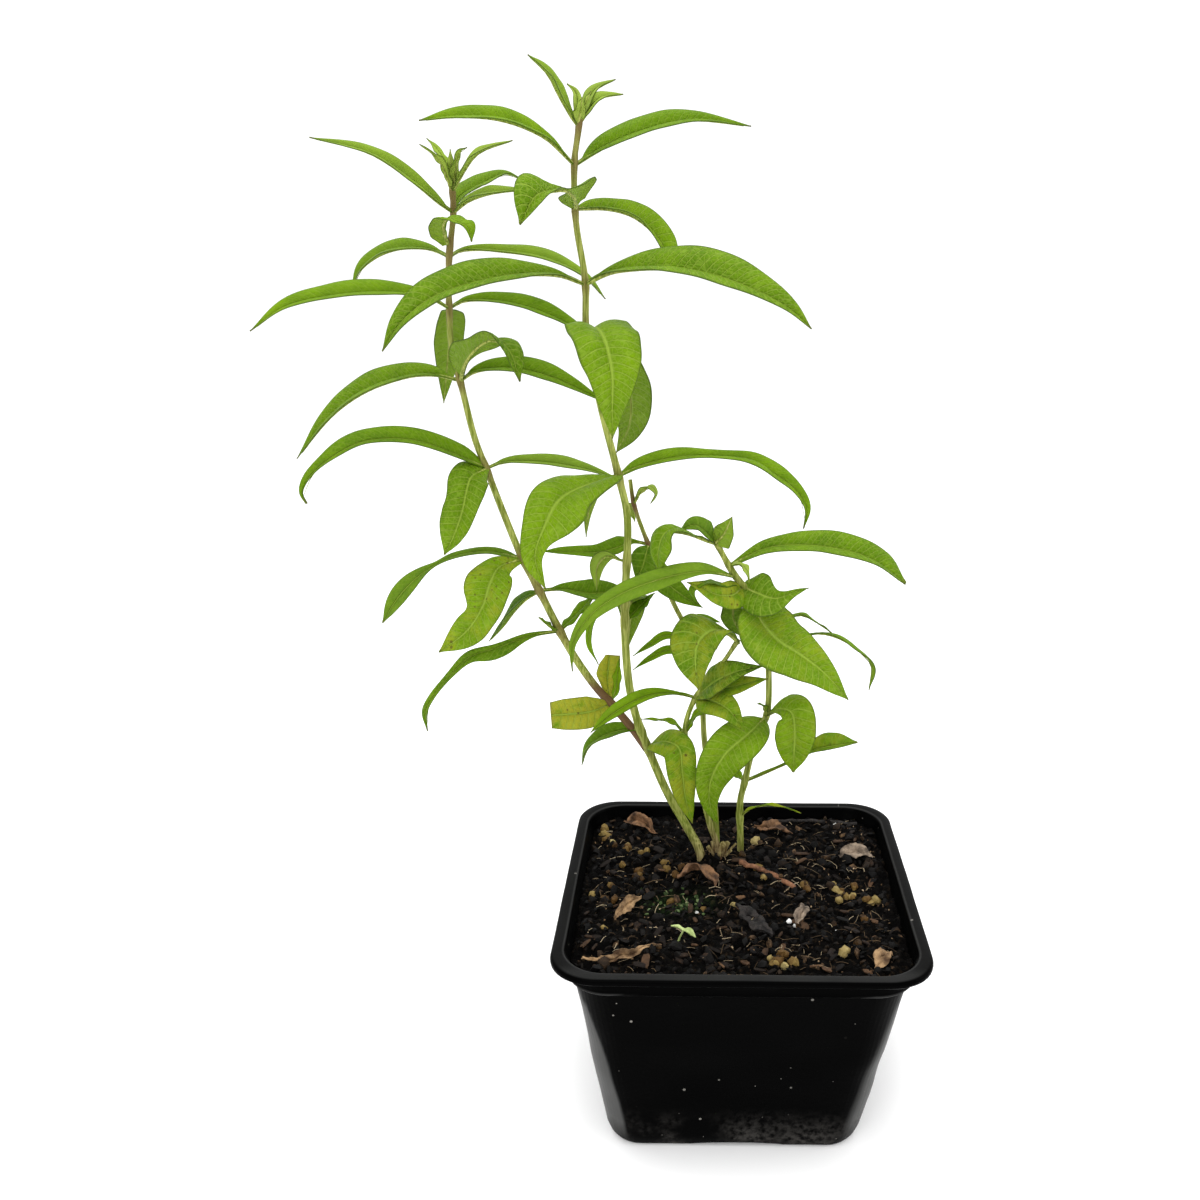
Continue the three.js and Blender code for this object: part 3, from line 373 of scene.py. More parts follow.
def highlight_and_dust_at(x, y, z):
    """How grey the plastic is painted, from 0 to 1: painted highlights, and dust on the rim's top."""
    turned = math.degrees(math.atan2(abs(x), abs(y)))
    if z > POT_HEIGHT - 0.1:
        return RIM_DUST_AND_HIGHLIGHT + FRONT_HIGHLIGHT * rising(-y, *FRONT_HIGHLIGHT_STRIP)
    if z > POT_HEIGHT - 0.2:
        return MOUTH_HIGHLIGHT * (max(abs(x), abs(y)) < MOUTH_HALF + 0.6)
    if COLLAR_FOOT + 0.6 < z < COLLAR_FOOT + 0.8:
        return BEAD_HIGHLIGHT * rising(turned, *BEAD_HIGHLIGHT_ENDS)
    start = float(np.interp(z, HIGHLIGHT_HEIGHTS, HIGHLIGHT_STARTS))
    fade = LEFT_FADE if x < 0 else RIGHT_FADE
    corner_highlight = rising(turned, start, start + fade) * (1 - rising(turned, *HIGHLIGHT_ENDS))
    return corner_highlight * (0.6 + 0.035 * (turned - start)) * rising(z, *HIGHLIGHT_FOOT) * (z < COLLAR_FOOT - 1)


# the painted highlight and rim dust of each vertex
highlight_and_dust_values = [highlight_and_dust_at(*place) for place in positions(pot)]
paint(pot, "highlight_and_dust", highlight_and_dust_values)
print("worn vertices:", sum(value > 0 for value in highlight_and_dust_values))

# %% Bend the thin walls a little
WALL_WAVE = 0.45               # how far a wall strays from flat, in millimetres
WALL_FREE = (3, 56)            # between these heights neither the foot nor the collar holds it straight
BROAD_WAVE, SMALL_WAVE = 19, 7
HOLLOW = 0.5                   # how far the middle of each wall sinks in
HOLLOW_HALF = 30
LEAN_UP_TO = 50                # below this the pot leans by about 1 mm to the left and the front
LEAN_FRONT = 1.1
LEAN_DEEPER = 0.02             # and its foot gets deeper by this share

places = positions(pot)
for k, (x, y, z) in enumerate(places):
    free = math.sin(math.pi * rising(z, *WALL_FREE)) + 0.35 * (z > RIM_FOOT - 1)
    reach = max(abs(x), abs(y), 1)
    bend = WALL_WAVE * free * noise.noise(Vector((x, y, z * 1.3)) / BROAD_WAVE + Vector((3, 8, 1)))
    bend += 0.4 * WALL_WAVE * free * noise.noise(Vector((x, y, z)) / SMALL_WAVE)
    bend -= HOLLOW * free * max(0, 1 - (min(abs(x), abs(y)) / HOLLOW_HALF) ** 2) * (z < RIM_FOOT)
    lean = max(0, 1 - z / LEAN_UP_TO)
    forward = y * (1 + LEAN_DEEPER * lean) + bend * y / reach - LEAN_FRONT * lean
    places[k] = (x + bend * x / reach - lean, forward, z)
move_vertices(pot, places)
print("walls bent by up to", WALL_WAVE, "mm")

# %% Cut the arches and the drain holes
NOTCH_WIDTH, NOTCH_HEIGHT, NOTCH_DEPTH = 28.0, 1.5, 7.0
ARCH_OUT = 1.1                 # the middle of an arch's cutter is this far outside the foot
DRAIN_RADIUS, DRAIN_SPREAD = 3.5, 21.0
WELD_GAP = 0.00002             # corners closer than this become one, in metres


def cut_away(piece, cutter):
    """Takes the cutter's shape out of the piece and deletes the cutter."""
    apply_modifier(piece, "BOOLEAN", object=cutter, operation="DIFFERENCE", solver="EXACT")
    bpy.data.objects.remove(cutter)


for quarter in range(4):
    angle = quarter * math.pi / 2
    middle = Vector((0, -BASE_HALF - ARCH_OUT, 0)) * MM
    middle.rotate(Euler((0, 0, angle)))
    bpy.ops.mesh.primitive_cylinder_add(
        vertices=48, radius=1, depth=NOTCH_DEPTH * MM, location=middle, rotation=(math.pi / 2, 0, angle))
    arch = bpy.context.object
    arch.scale = (NOTCH_WIDTH / 2 * MM, NOTCH_HEIGHT * MM, 1)
    cut_away(pot, arch)
    diagonal = Vector((DRAIN_SPREAD, 0, 0)) * MM
    diagonal.rotate(Euler((0, 0, angle + math.pi / 4)))
    bpy.ops.mesh.primitive_cylinder_add(
        vertices=28, radius=DRAIN_RADIUS * MM, depth=8 * POT_FLOOR * MM, location=diagonal)
    cut_away(pot, bpy.context.object)
apply_modifier(pot, "WELD", merge_threshold=WELD_GAP)
pick(pot)
bpy.ops.object.shade_smooth_by_angle(angle=math.radians(35))
print("pot with arches and drains:", len(pot.data.polygons), "faces")

# %% [markdown]
# ### Black plastic
#
# Moulded black plastic is almost pure black. The stored number paints grey highlights on its corners, bead
# and mouth, and dust with a highlight on its rim, and a trace of sheen softens the rest. In use the pot picks
# up grey splash dust round its foot and specks of grit. A gradient from the foot carries the dust, and
# Voronoi cells of two sizes make the specks.

# %% Black plastic
PLASTIC_BLACK = (0.0003, 0.0003, 0.0003, 1)
HIGHLIGHT_AND_DUST_GREY = (0.1, 0.1, 0.098, 1)
SPLASH_DUST = (0.045, 0.042, 0.039, 1)
PALE_GRIT = (0.2, 0.19, 0.17, 1)

plastic, plastic_shader = new_finish("black plastic")
place = object_place(plastic)
height = add_node(plastic, "SeparateXYZ", {"Vector": place}).outputs["Z"]
smudge = noise_over(plastic, place, 60)
fine = noise_over(plastic, place, 520, 5.0, 0.65)
low_down = sum_of(plastic, "SUBTRACT", 1.0, between(plastic, height, 0.0, 0.016))
dusty = sum_of(plastic, "MULTIPLY", low_down, between(plastic, smudge, 0.38, 0.62))
dusty = sum_of(plastic, "MULTIPLY", dusty, between(plastic, fine, 0.35, 0.65))
patchy = sum_of(plastic, "MULTIPLY_ADD", smudge, 0.8, 0.6)
# painted highlight: the stored number greys the corners, bead and mouth, and the rim's top with dust and
# highlight
highlight_and_dust_share = sum_of(plastic, "MULTIPLY", stored(plastic, "highlight_and_dust"), patchy)
colour = blended(plastic, highlight_and_dust_share, PLASTIC_BLACK, HIGHLIGHT_AND_DUST_GREY)
colour = blended(plastic, dusty, colour, SPLASH_DUST)
for cells, share in ((210.0, 0.8), (430.0, 0.9)):
    grit = add_node(plastic, "TexVoronoi", {"Vector": place, "Scale": cells, "Randomness": 1.0})
    chance = add_node(plastic, "SeparateXYZ", {"Vector": grit.outputs["Color"]})
    speck = sum_of(plastic, "LESS_THAN", grit.outputs["Distance"], 0.085)
    rare = sum_of(plastic, "GREATER_THAN", chance.outputs["X"], share)
    speck = sum_of(plastic, "MULTIPLY", speck, rare)
    speck = sum_of(plastic, "MULTIPLY", speck, chance.outputs["Y"])
    colour = blended(plastic, speck, colour, PALE_GRIT)
matt = sum_of(plastic, "MULTIPLY_ADD", smudge, 0.2, 0.22)
matt = sum_of(plastic, "MULTIPLY_ADD", dusty, 0.35, matt)
feed(plastic, plastic_shader, base_color=colour, roughness=matt)
plastic_shader.inputs["Specular IOR Level"].default_value = 0.012
plastic_shader.inputs["Sheen Weight"].default_value = 0.015
plastic_shader.inputs["Sheen Roughness"].default_value = 0.25
set_bump(plastic, plastic_shader, noise_over(plastic, place, 900, 2.0), 0.00004)
pot.data.materials.append(plastic)
hand_over(pot, "black_plastic", "pot")

# %% [markdown]
# ## Smooth routes
#
# Stems, leaf ribs and twigs all follow a smooth line through a few listed points. A Catmull-Rom curve passes
# through each of its points, so the lists stay short and true. Its centripetal kind doesn't overshoot where
# two points are close.

# %% A smooth line through points
SOIL_LEVEL = 60.6
STEM_SUNK = 11.0
ROUTE_STEPS = 16               # steps of a smooth line between two of its points


def smooth_route(points):
    """Close points on a smooth line through these, each one's share of its length, and that length."""
    points = np.array(points, float)
    ends = [2 * points[0] - points[1], *points, 2 * points[-1] - points[-2]]
    line = []
    for p0, p1, p2, p3 in zip(ends, ends[1:], ends[2:], ends[3:]):
        d0, d1, d2 = (max(np.linalg.norm(b - a), 1e-6) ** 0.5 for a, b in ((p0, p1), (p1, p2), (p2, p3)))
        leave = ((p1 - p0) / d0 - (p2 - p0) / (d0 + d1) + (p2 - p1) / d1) * d1
        arrive = ((p2 - p1) / d1 - (p3 - p1) / (d1 + d2) + (p3 - p2) / d2) * d1
        for t in np.arange(ROUTE_STEPS) / ROUTE_STEPS:
            bend = (2 * (p1 - p2) + leave + arrive) * t ** 3 + (3 * (p2 - p1) - 2 * leave - arrive) * t ** 2
            line.append(p1 + leave * t + bend)
    line = np.array([*line, points[-1]])
    lengths = np.concatenate([[0], np.cumsum(np.linalg.norm(np.diff(line, axis=0), axis=1))])
    return line, lengths / lengths[-1], lengths[-1]


def along(way, shares):
    """Places and unit directions at these shares of a route's length."""
    line, at, _ = way
    slope = np.gradient(line, axis=0)
    place = np.stack([np.interp(shares, at, line[:, k]) for k in range(3)], 1)
    ahead = np.stack([np.interp(shares, at, slope[:, k]) for k in range(3)], 1)
    return place, ahead / np.linalg.norm(ahead, axis=1, keepdims=True)


def crosswise(vectors, ahead):
    """The vectors with their part along ahead taken out, as unit vectors."""
    flat = vectors - ahead * np.sum(vectors * ahead, axis=1, keepdims=True)
    return flat / np.linalg.norm(flat, axis=1, keepdims=True)


print("a route of two points is", round(smooth_route([(0, 0, 0), (3, 4, 0)])[2], 3), "mm long")

# %% [markdown]
# ## The soil
#
# Potting soil is black peat with bark crumbs, pale root fibres, round fertiliser grains, a few white perlite
# grains and a little moss. A sculpted block would look like clay, and a pot full of loose grains would be
# heavy. So a fine grid gets clods from noise and rounded crumbs of two sizes from Voronoi cells. Then some
# two thousand loose bits, each kind of them modelled once, are strewn over it by a seeded random draw.

# %% The soil's relief
SOIL_HALF = 45.8
SOIL_CORNER = 11.2
SOIL_GRID = 210
CRUMB_SIZE, GRIT_SIZE = 1.9, 0.9
SHRUNK = 0.5                   # how far the soil has sunk along the wall
MOSS_PLACE = (-17, -7)


def ground(x, y):
    """The height of the slow swells of the soil, with a low mound round the stems."""
    swell = 0.7 * math.sin(x / 9 + 1) * math.cos(y / 11)
    lumps = 0.5 * math.sin(x * 1.1 + y * 0.7) * math.sin(y * 1.3 - x * 0.5)
    mound = 1.2 * math.exp(-((x + 3) ** 2 + (y - 21) ** 2) / 300)
    return SOIL_LEVEL + swell + lumps + mound


def dome(x, y, size):
    """Rounded crumbs of that size side by side: 0.5 on top of one, and lower in the cracks between them."""
    spot = Vector((x, y, 0)) / size
    spot += Vector((noise.noise(spot * 1.3), noise.noise(spot * 1.3 + Vector((9, 4, 2))), 0)) * 0.5
    return 0.5 - noise.voronoi(spot)[0][0]


def crumbly(x, y):
    """The ground with clods, crumbs and grit on it, lower where it has shrunk from the wall."""
    clods = 1.2 * noise.noise(Vector((x, y, 3.0)) / 5.5)
    crumbs = 1.1 * dome(x, y, CRUMB_SIZE) + 0.7 * noise.noise(Vector((x, y, 7.0)) / 2.3)
    grit = 0.5 * dome(x, y, GRIT_SIZE)
    from_wall = SOIL_HALF - max(abs(x), abs(y))
    shrunk = SHRUNK * math.exp(-from_wall / 1.6)
    return ground(x, y) + clods + crumbs + grit - shrunk


def into_rounded_square(x, y, half, corner):
    """Pulls a point of the square in, so that the square's corners become round."""
    reach = max(abs(x), abs(y))
    if reach == 0:
        return x, y
    edge_x, edge_y = abs(x) * half / reach, abs(y) * half / reach
    over_x, over_y = edge_x - (half - corner), edge_y - (half - corner)
    pull = 1.0
    if over_x > 0 and over_y > 0:
        low, high = 0.0, 1.0
        for _ in range(24):
            pull = (low + high) / 2
            gap = math.hypot(edge_x * pull - half + corner, edge_y * pull - half + corner)
            inside_corner = min(edge_x, edge_y) * pull > half - corner
            low, high = (low, pull) if gap > corner and inside_corner else (pull, high)
    return x * pull, y * pull


bpy.ops.mesh.primitive_grid_add(
    x_subdivisions=SOIL_GRID, y_subdivisions=SOIL_GRID, size=2 * SOIL_HALF * MM)
soil = bpy.context.object
soil.name = soil.data.name = "potting_soil_top"
places = positions(soil)
bulge = np.empty(len(places))
for k, (x, y, _) in enumerate(places):
    x, y = into_rounded_square(x, y, SOIL_HALF, SOIL_CORNER)
    places[k] = (x, y, crumbly(x, y))
    bulge[k] = dome(x, y, CRUMB_SIZE) + 0.5
move_vertices(soil, places)
paint(soil, "bulge", bulge)
from_moss = ((places[:, 0] - MOSS_PLACE[0]) / 8) ** 2 + ((places[:, 1] - MOSS_PLACE[1]) / 5) ** 2
paint(soil, "mossy", np.exp(-from_moss))
print("soil grid:", len(soil.data.polygons), "squares, relief", round(float(np.ptp(places[:, 2])), 1), "mm")

# %% Close the block of soil
SOIL_FOOT = 2.0
SOIL_GAP = 0.4                 # between the pot's wall and the soil, under the collar
block_levels = [(BODY_HALF - WALL - SOIL_GAP, COLLAR_FOOT), (35.5, FOOT_TOP), (31.5, SOIL_FOOT)]

bpy.ops.object.mode_set(mode="EDIT")
bpy.ops.mesh.select_mode(type="EDGE")
bpy.ops.mesh.select_all(action="DESELECT")
bpy.ops.mesh.select_non_manifold(extend=False)
half = SOIL_HALF
for next_half, level in block_levels:
    bpy.ops.mesh.extrude_region_move()
    grow = next_half / half
    bpy.ops.transform.resize(value=(grow, grow, 0), center_override=(0, 0, level * MM))
    half = next_half
bpy.ops.mesh.edge_face_add()
bpy.ops.mesh.select_all(action="SELECT")
bpy.ops.mesh.normals_make_consistent(inside=False)
bpy.ops.object.mode_set(mode="OBJECT")
pick(soil)
bpy.ops.object.shade_smooth()
print("soil closed:", len(soil.data.polygons), "faces")

# %% Soil finish
DARK_PEAT, PALE_PEAT = (0.001, 0.0008, 0.0007, 1), (0.024, 0.016, 0.009, 1)
DARK_PATCH = (0.002, 0.0017, 0.0015, 1)
SOIL_MOSS = (0.012, 0.028, 0.006, 1)

peat, peat_shader = new_finish("moist peat")
place = object_place(peat)
mottle = noise_over(peat, place, 700, 6.0, 0.65)
patches = noise_over(peat, place, 120)
# the peat is paler on the tops of the crumbs and darker in the cracks between them
on_top = sum_of(peat, "MULTIPLY_ADD", stored(peat, "bulge"), 0.35, mottle)
colour = blended(peat, between(peat, on_top, 0.7, 1.0), DARK_PEAT, PALE_PEAT)
colour = blended(peat, between(peat, patches, 0.5, 0.7), colour, DARK_PATCH)
green = sum_of(peat, "MULTIPLY", stored(peat, "mossy"), between(peat, mottle, 0.4, 0.6))
colour = blended(peat, green, colour, SOIL_MOSS)
feed(peat, peat_shader, base_color=colour, roughness=sum_of(peat, "MULTIPLY_ADD", mottle, 0.8, 0.1))
peat_shader.inputs["Specular IOR Level"].default_value = 0.03
set_bump(peat, peat_shader, noise_over(peat, place, 1500, 8.0, 0.7), 0.0007)
soil.data.materials.append(peat)
hand_over(soil, "potting_soil", "soil")

# %% [markdown]
# ### Crumbs, grains and fibres
#
# Each kind of grain is shaped once, from an ico sphere, a bevelled cube or a thin tube of very few faces. The
# copies are turned and sized at random, half sunk in the soil, and joined by kind. Every copy stores a shade,
# which the finish turns into one of the colours that the real grains have.

# %% Strewing copies
draw = random.Random(41)


def strew(name, master, spots):
    """Copies the master to each (place, turn, size, shade), all in millimetres, and joins the copies."""
    copies = []
    for place, turn, size, shade in spots:
        copy = master.copy()
        copy.data = master.data.copy()
        bpy.context.collection.objects.link(copy)
        copy.matrix_world = Matrix.LocRotScale(Vector(place) * MM, Euler(turn), Vector(size) * MM)
        paint(copy, "shade", shade)
        copies.append(copy)
    bpy.data.objects.remove(master)
    return join_pieces(name, copies)


def on_soil(margin=1.5):
    """A random spot on the soil, off the round corners."""
    while True:
        x, y = (draw.uniform(-SOIL_HALF + margin, SOIL_HALF - margin) for _ in range(2))
        out = [max(abs(v) - (SOIL_HALF - SOIL_CORNER), 0) for v in (x, y)]
        if math.hypot(*out) < SOIL_CORNER - margin:
            return x, y


def any_turn():
    """A random turn about all three axes."""
    return [draw.uniform(0, 2 * math.pi) for _ in range(3)]


def lumpy_ball(divisions, lumps, seed):
    """A ball of radius 1 metre, made lumpy by noise."""
    bpy.ops.mesh.primitive_ico_sphere_add(subdivisions=divisions, radius=1)
    ball = bpy.context.object
    for vertex in ball.data.vertices:
        vertex.co *= 1 + lumps * noise.noise(vertex.co * 1.3 + Vector((seed, 0, 0)))
    return ball


print("first random spot on the soil:", [round(v, 1) for v in on_soil()])

# %% Dark crumbs and bark chips
DARK_CRUMBS, PALE_SPECKS_AND_GLINTS, BARK_CHIPS = 1000, 360, 170

crumb_spots = []
for _ in range(DARK_CRUMBS):
    x, y = on_soil()
    size = draw.uniform(0.4, 0.85) * draw.choice((0.7, 1.0, 1.3, 1.9))
    stretch = [size * draw.uniform(0.6, 1.5) for _ in range(3)]
    crumb_spots.append(((x, y, crumbly(x, y) + 0.1 * size), any_turn(), stretch, 0.8 * draw.random() ** 2.0))
# pale specks of tan grit, which also stand in as painted glints on the moist peat
for _ in range(PALE_SPECKS_AND_GLINTS):
    x, y = on_soil()
    stretch = [draw.uniform(0.12, 0.38) for _ in range(3)]
    crumb_spots.append(((x, y, crumbly(x, y) + 0.2), any_turn(), stretch, draw.uniform(0.65, 1.0)))
crumbs = strew("soil_crumbs", lumpy_ball(1, 0.5, 2.0), crumb_spots)

chip_spots = []
for _ in range(BARK_CHIPS):
    x, y = on_soil(2.5)
    length = draw.uniform(0.8, 2.3)
    tilt = (draw.uniform(-0.5, 0.5), draw.uniform(-0.5, 0.5), draw.uniform(0, 6.3))
    chip_size = (length, length * draw.uniform(0.25, 0.6), 0.28)
    chip_spots.append(((x, y, crumbly(x, y) + 0.3), tilt, chip_size, 0.8 * draw.random() ** 1.5))
bpy.ops.mesh.primitive_cube_add(size=2)
chip = bpy.context.object
bpy.ops.object.mode_set(mode="EDIT")
bpy.ops.mesh.select_all(action="SELECT")
bpy.ops.mesh.bevel(offset=0.5, segments=1, affect="EDGES", offset_type="PERCENT", offset_pct=22)
bpy.ops.object.mode_set(mode="OBJECT")
for vertex in chip.data.vertices:
    vertex.co += noise.noise_vector(vertex.co * 0.9) * 0.35
chips = strew("bark_chips", chip, chip_spots)
print("crumbs and chips:", len(crumbs.data.polygons), "and", len(chips.data.polygons), "faces")

# %% Fibres
FIBRES = 400

bpy.ops.mesh.primitive_cylinder_add(vertices=4, radius=0.075, depth=2)
fibre = bpy.context.object
for edge in fibre.data.edges:
    start, end = (fibre.data.vertices[v].co for v in edge.vertices)
    edge.select = abs(start.z - end.z) > 1
for face in fibre.data.polygons:
    face.select = False
bpy.ops.object.mode_set(mode="EDIT")
bpy.ops.mesh.select_mode(type="EDGE")
bpy.ops.mesh.subdivide(number_cuts=5)
bpy.ops.object.mode_set(mode="OBJECT")
for vertex in fibre.data.vertices:
    vertex.co.x += 0.28 * math.sin(vertex.co.z * 1.7)
    vertex.co.y += 0.18 * math.cos(vertex.co.z * 2.9)
fibre_spots = []
for _ in range(FIBRES):
    x, y = on_soil(3)
    lying = (draw.uniform(1.2, 1.9), draw.uniform(-0.2, 0.2), draw.uniform(0, 6.3))
    length = draw.uniform(0.7, 2.0) * draw.choice((1.0, 1.0, 1.8))
    thickness = draw.uniform(0.7, 1.4)
    fibre_size = (thickness, thickness, length)
    fibre_spots.append(((x, y, crumbly(x, y) + 0.45), lying, fibre_size, draw.uniform(0.3, 1)))
fibres = strew("root_fibres", fibre, fibre_spots)
print("fibres:", len(fibres.data.polygons), "faces")

# %% Fertiliser grains, perlite and moss
MOSS_TUFTS = 60
EDGE_MARGIN = 3                # grains stay this far from the wall

# the middle of each group of grains, their number and how far they are spread
grain_groups = [
    ((32, 1), 12, 3.6), ((39, -5), 3, 1.6), ((20, 2), 3, 1.5), ((11, -35), 12, 3.4), ((35, -16), 2, 2.0),
    ((-40, 33), 6, 3.5), ((30, -30), 2, 2.5), ((-30, 20), 3, 7.0), ((-38, 0), 4, 5.0), ((-30, -25), 3, 8.0),
    ((10, 8), 3, 5.0), ((-22, 12), 3, 6.0), ((0, 0), 9, 38.0), ((-36, 26), 6, 3.0), ((-32, 10), 5, 4.0),
]
grain_spots = []
for middle, count, spread in grain_groups:
    for _ in range(count):
        x, y = (m + draw.uniform(-spread, spread) for m in middle)
        if max(abs(x), abs(y)) > SOIL_HALF - EDGE_MARGIN:
            continue
        size = draw.uniform(0.8, 1.4) if spread > 3.5 else draw.uniform(1.0, 1.6)
        round_size = [size * draw.uniform(0.75, 1.15) for _ in range(3)]
        grain_spots.append(((x, y, crumbly(x, y) + 0.25 * size), any_turn(), round_size, draw.random()))
grains = strew("feed_grains", lumpy_ball(2, 0.5, 5.0), grain_spots)

perlite_spots = [
    (14, -17, 1.0), (15.5, -19, 0.6), (33, 40, 0.8), (-43, 35, 0.6), (27, -21, 0.55), (-12, -14, 0.5),
]
perlite_places = [
    ((x, y, crumbly(x, y) + 0.5 * size), any_turn(), (size, size * 0.8, size * 0.9), draw.random())
    for x, y, size in perlite_spots
]
perlite = strew("perlite_grains", lumpy_ball(2, 0.6, 9.0), perlite_places)

moss_spots = []
for _ in range(MOSS_TUFTS):
    x, y = draw.gauss(MOSS_PLACE[0], 4.5), draw.gauss(MOSS_PLACE[1], 3.0)
    stretch = [draw.uniform(0.2, 0.7) for _ in range(3)]
    moss_spots.append(((x, y, crumbly(x, y) + 0.1), any_turn(), stretch, draw.random()))
moss = strew("moss_tufts", lumpy_ball(1, 0.8, 4.0), moss_spots)
print("grains:", len(grain_spots), "and", len(perlite_places), "of perlite, tufts of moss:", len(moss_spots))

# %% [markdown]
# ### Finishes of the grains
#
# One finish reads the stored shade through a colour ramp, so more than a thousand crumbs need only one
# material. The fertiliser grains are a waxy yellow tan, and perlite is chalk white.

# %% Grain finishes
def shaded_finish(name, stops, rough, bump_scale, bump_depth):
    """A finish whose colour runs through the stops by each copy's stored shade, mottled by noise."""
    finish, shader = new_finish(name)
    place = object_place(finish)
    mottle = noise_over(finish, place, bump_scale * 0.5, 5.0)
    shade = sum_of(finish, "SUBTRACT", stored(finish, "shade"), 0.25)
    shade = sum_of(finish, "MULTIPLY_ADD", mottle, 0.5, shade)
    ramp = add_node(finish, "ValToRGB", {"Fac": shade})
    ramp.color_ramp.elements[0].position = stops[0][0]
    ramp.color_ramp.elements[0].color = (*stops[0][1], 1)
    ramp.color_ramp.elements[1].position = stops[-1][0]
    ramp.color_ramp.elements[1].color = (*stops[-1][1], 1)
    for at, colour in stops[1:-1]:
        ramp.color_ramp.elements.new(at).color = (*colour, 1)
    feed(finish, shader, base_color=ramp.outputs["Color"])
    shader.inputs["Roughness"].default_value = rough
    shader.inputs["Specular IOR Level"].default_value = 0.1
    set_bump(finish, shader, noise_over(finish, place, bump_scale, 4.0), bump_depth)
    return finish


crumb_finish = shaded_finish("peat crumbs", [
    (0.0, (0.0012, 0.001, 0.0009)), (0.5, (0.004, 0.003, 0.0025)), (0.75, (0.03, 0.018, 0.01)),
    (0.9, (0.17, 0.1, 0.05)), (1.0, (0.4, 0.3, 0.19)),
], 0.6, 1800, 0.0003)
chip_finish = shaded_finish("bark chips", [
    (0.0, (0.002, 0.0015, 0.0013)), (0.45, (0.012, 0.008, 0.006)), (0.75, (0.07, 0.038, 0.02)),
    (0.92, (0.2, 0.11, 0.055)), (1.0, (0.32, 0.23, 0.15)),
], 0.65, 1500, 0.0003)
fibre_finish = shaded_finish("root fibres", [
    (0.3, (0.015, 0.009, 0.006)), (0.7, (0.1, 0.065, 0.035)), (1.0, (0.42, 0.34, 0.22)),
], 0.7, 1500, 0.0001)
grain_finish = shaded_finish("feed grains", [
    (0.0, (0.012, 0.007, 0.003)), (0.35, (0.08, 0.04, 0.011)), (0.7, (0.18, 0.12, 0.035)),
    (1.0, (0.34, 0.27, 0.11)),
], 0.5, 1300, 0.0004)
perlite_finish = shaded_finish("perlite", [
    (0.0, (0.45, 0.45, 0.43)), (1.0, (0.75, 0.75, 0.73)),
], 0.8, 900, 0.0003)
moss_finish = shaded_finish("moss", [
    (0.0, (0.008, 0.014, 0.005)), (0.8, (0.04, 0.065, 0.02)), (1.0, (0.22, 0.29, 0.13)),
], 0.8, 1500, 0.0003)

for piece, finish in (
    (crumbs, crumb_finish), (chips, chip_finish), (fibres, fibre_finish), (grains, grain_finish),
    (perlite, perlite_finish), (moss, moss_finish),
):
    piece.data.materials.clear()
    piece.data.materials.append(finish)
    pick(piece)
    bpy.ops.object.shade_smooth_by_angle(angle=math.radians(50))
    hand_over(piece, "potting_soil")

# %% [markdown]
# ## Stems
#
# A verbena stem is square when young, with a rib at each corner, and swells a little where a whorl of leaves
# sits. It is green below, brown to purple near the top, and pale and woody at its foot. A curve with a bevel
# would give a plain tube. A cylinder whose long edges are subdivided, and whose rings are then carried to a
# route, lets every ring have ribs and its own thickness.

# %% Bend a cylinder along a route
STEM_SIDES = 20


def long_cylinder(name, sides, rings):
    """An upright cylinder, 1 wide and 1 high in millimetres, cut into rings."""
    bpy.ops.mesh.primitive_cylinder_add(vertices=sides, radius=MM, depth=MM)
    tube = bpy.context.object
    tube.name = name
    for face in tube.data.polygons:
        face.select = False
    for edge in tube.data.edges:
        start, end = (tube.data.vertices[v].co for v in edge.vertices)
        edge.select = abs(start.z - end.z) > 0.5 * MM
    bpy.ops.object.mode_set(mode="EDIT")
    bpy.ops.mesh.select_mode(type="EDGE")
    bpy.ops.mesh.subdivide(number_cuts=rings)
    bpy.ops.object.mode_set(mode="OBJECT")
    return tube


def bent_tube(name, points, radius_at, sides=STEM_SIDES, step=2.2, ribs=0.0):
    """A tube along the route, with radius_at(share) at each place and four ribs down its sides."""
    way = smooth_route(points)
    rings = max(3, min(100, round(way[2] / step)))
    tube = long_cylinder(name, sides, rings)
    flat = positions(tube)
    share = flat[:, 2] + 0.5
    place, ahead = along(way, share)
    side = crosswise(np.tile([1.0, 0, 0], (len(flat), 1)), ahead)
    front = np.cross(side, ahead)
    angle = np.arctan2(flat[:, 1], flat[:, 0])
    radius = np.array([radius_at(s) for s in share])
    radius = radius * (1 + ribs * np.cos(4 * angle) + 0.35 * ribs * np.cos(12 * angle))
    off_axis = np.hypot(flat[:, 0], flat[:, 1]) * radius
    across = side * (np.cos(angle) * off_axis)[:, None] - front * (np.sin(angle) * off_axis)[:, None]
    move_vertices(tube, place + across)
    paint(tube, "share", share)
    return tube


trial = bent_tube("trial", [(0, 0, 0), (0, 0, 10)], lambda share: 1)
trial_size = [round(v / MM, 1) for v in trial.dimensions]
print("a trial tube has", len(trial.data.polygons), "faces and is", trial_size, "mm")
bpy.data.objects.remove(trial)

# %% [markdown]
# ### The routes of the stems
#
# The routes are the solids' own. Each starts in the soil and ends in the bud. The points are spaced where the
# real stem changes its lean, which a verbena does at nearly every whorl.

# %% Routes
def standing(x, y):
    """A stem's buried foot and the point where it leaves the soil."""
    return [(x, y, SOIL_LEVEL - STEM_SUNK), (x, y, SOIL_LEVEL + 2.5)]


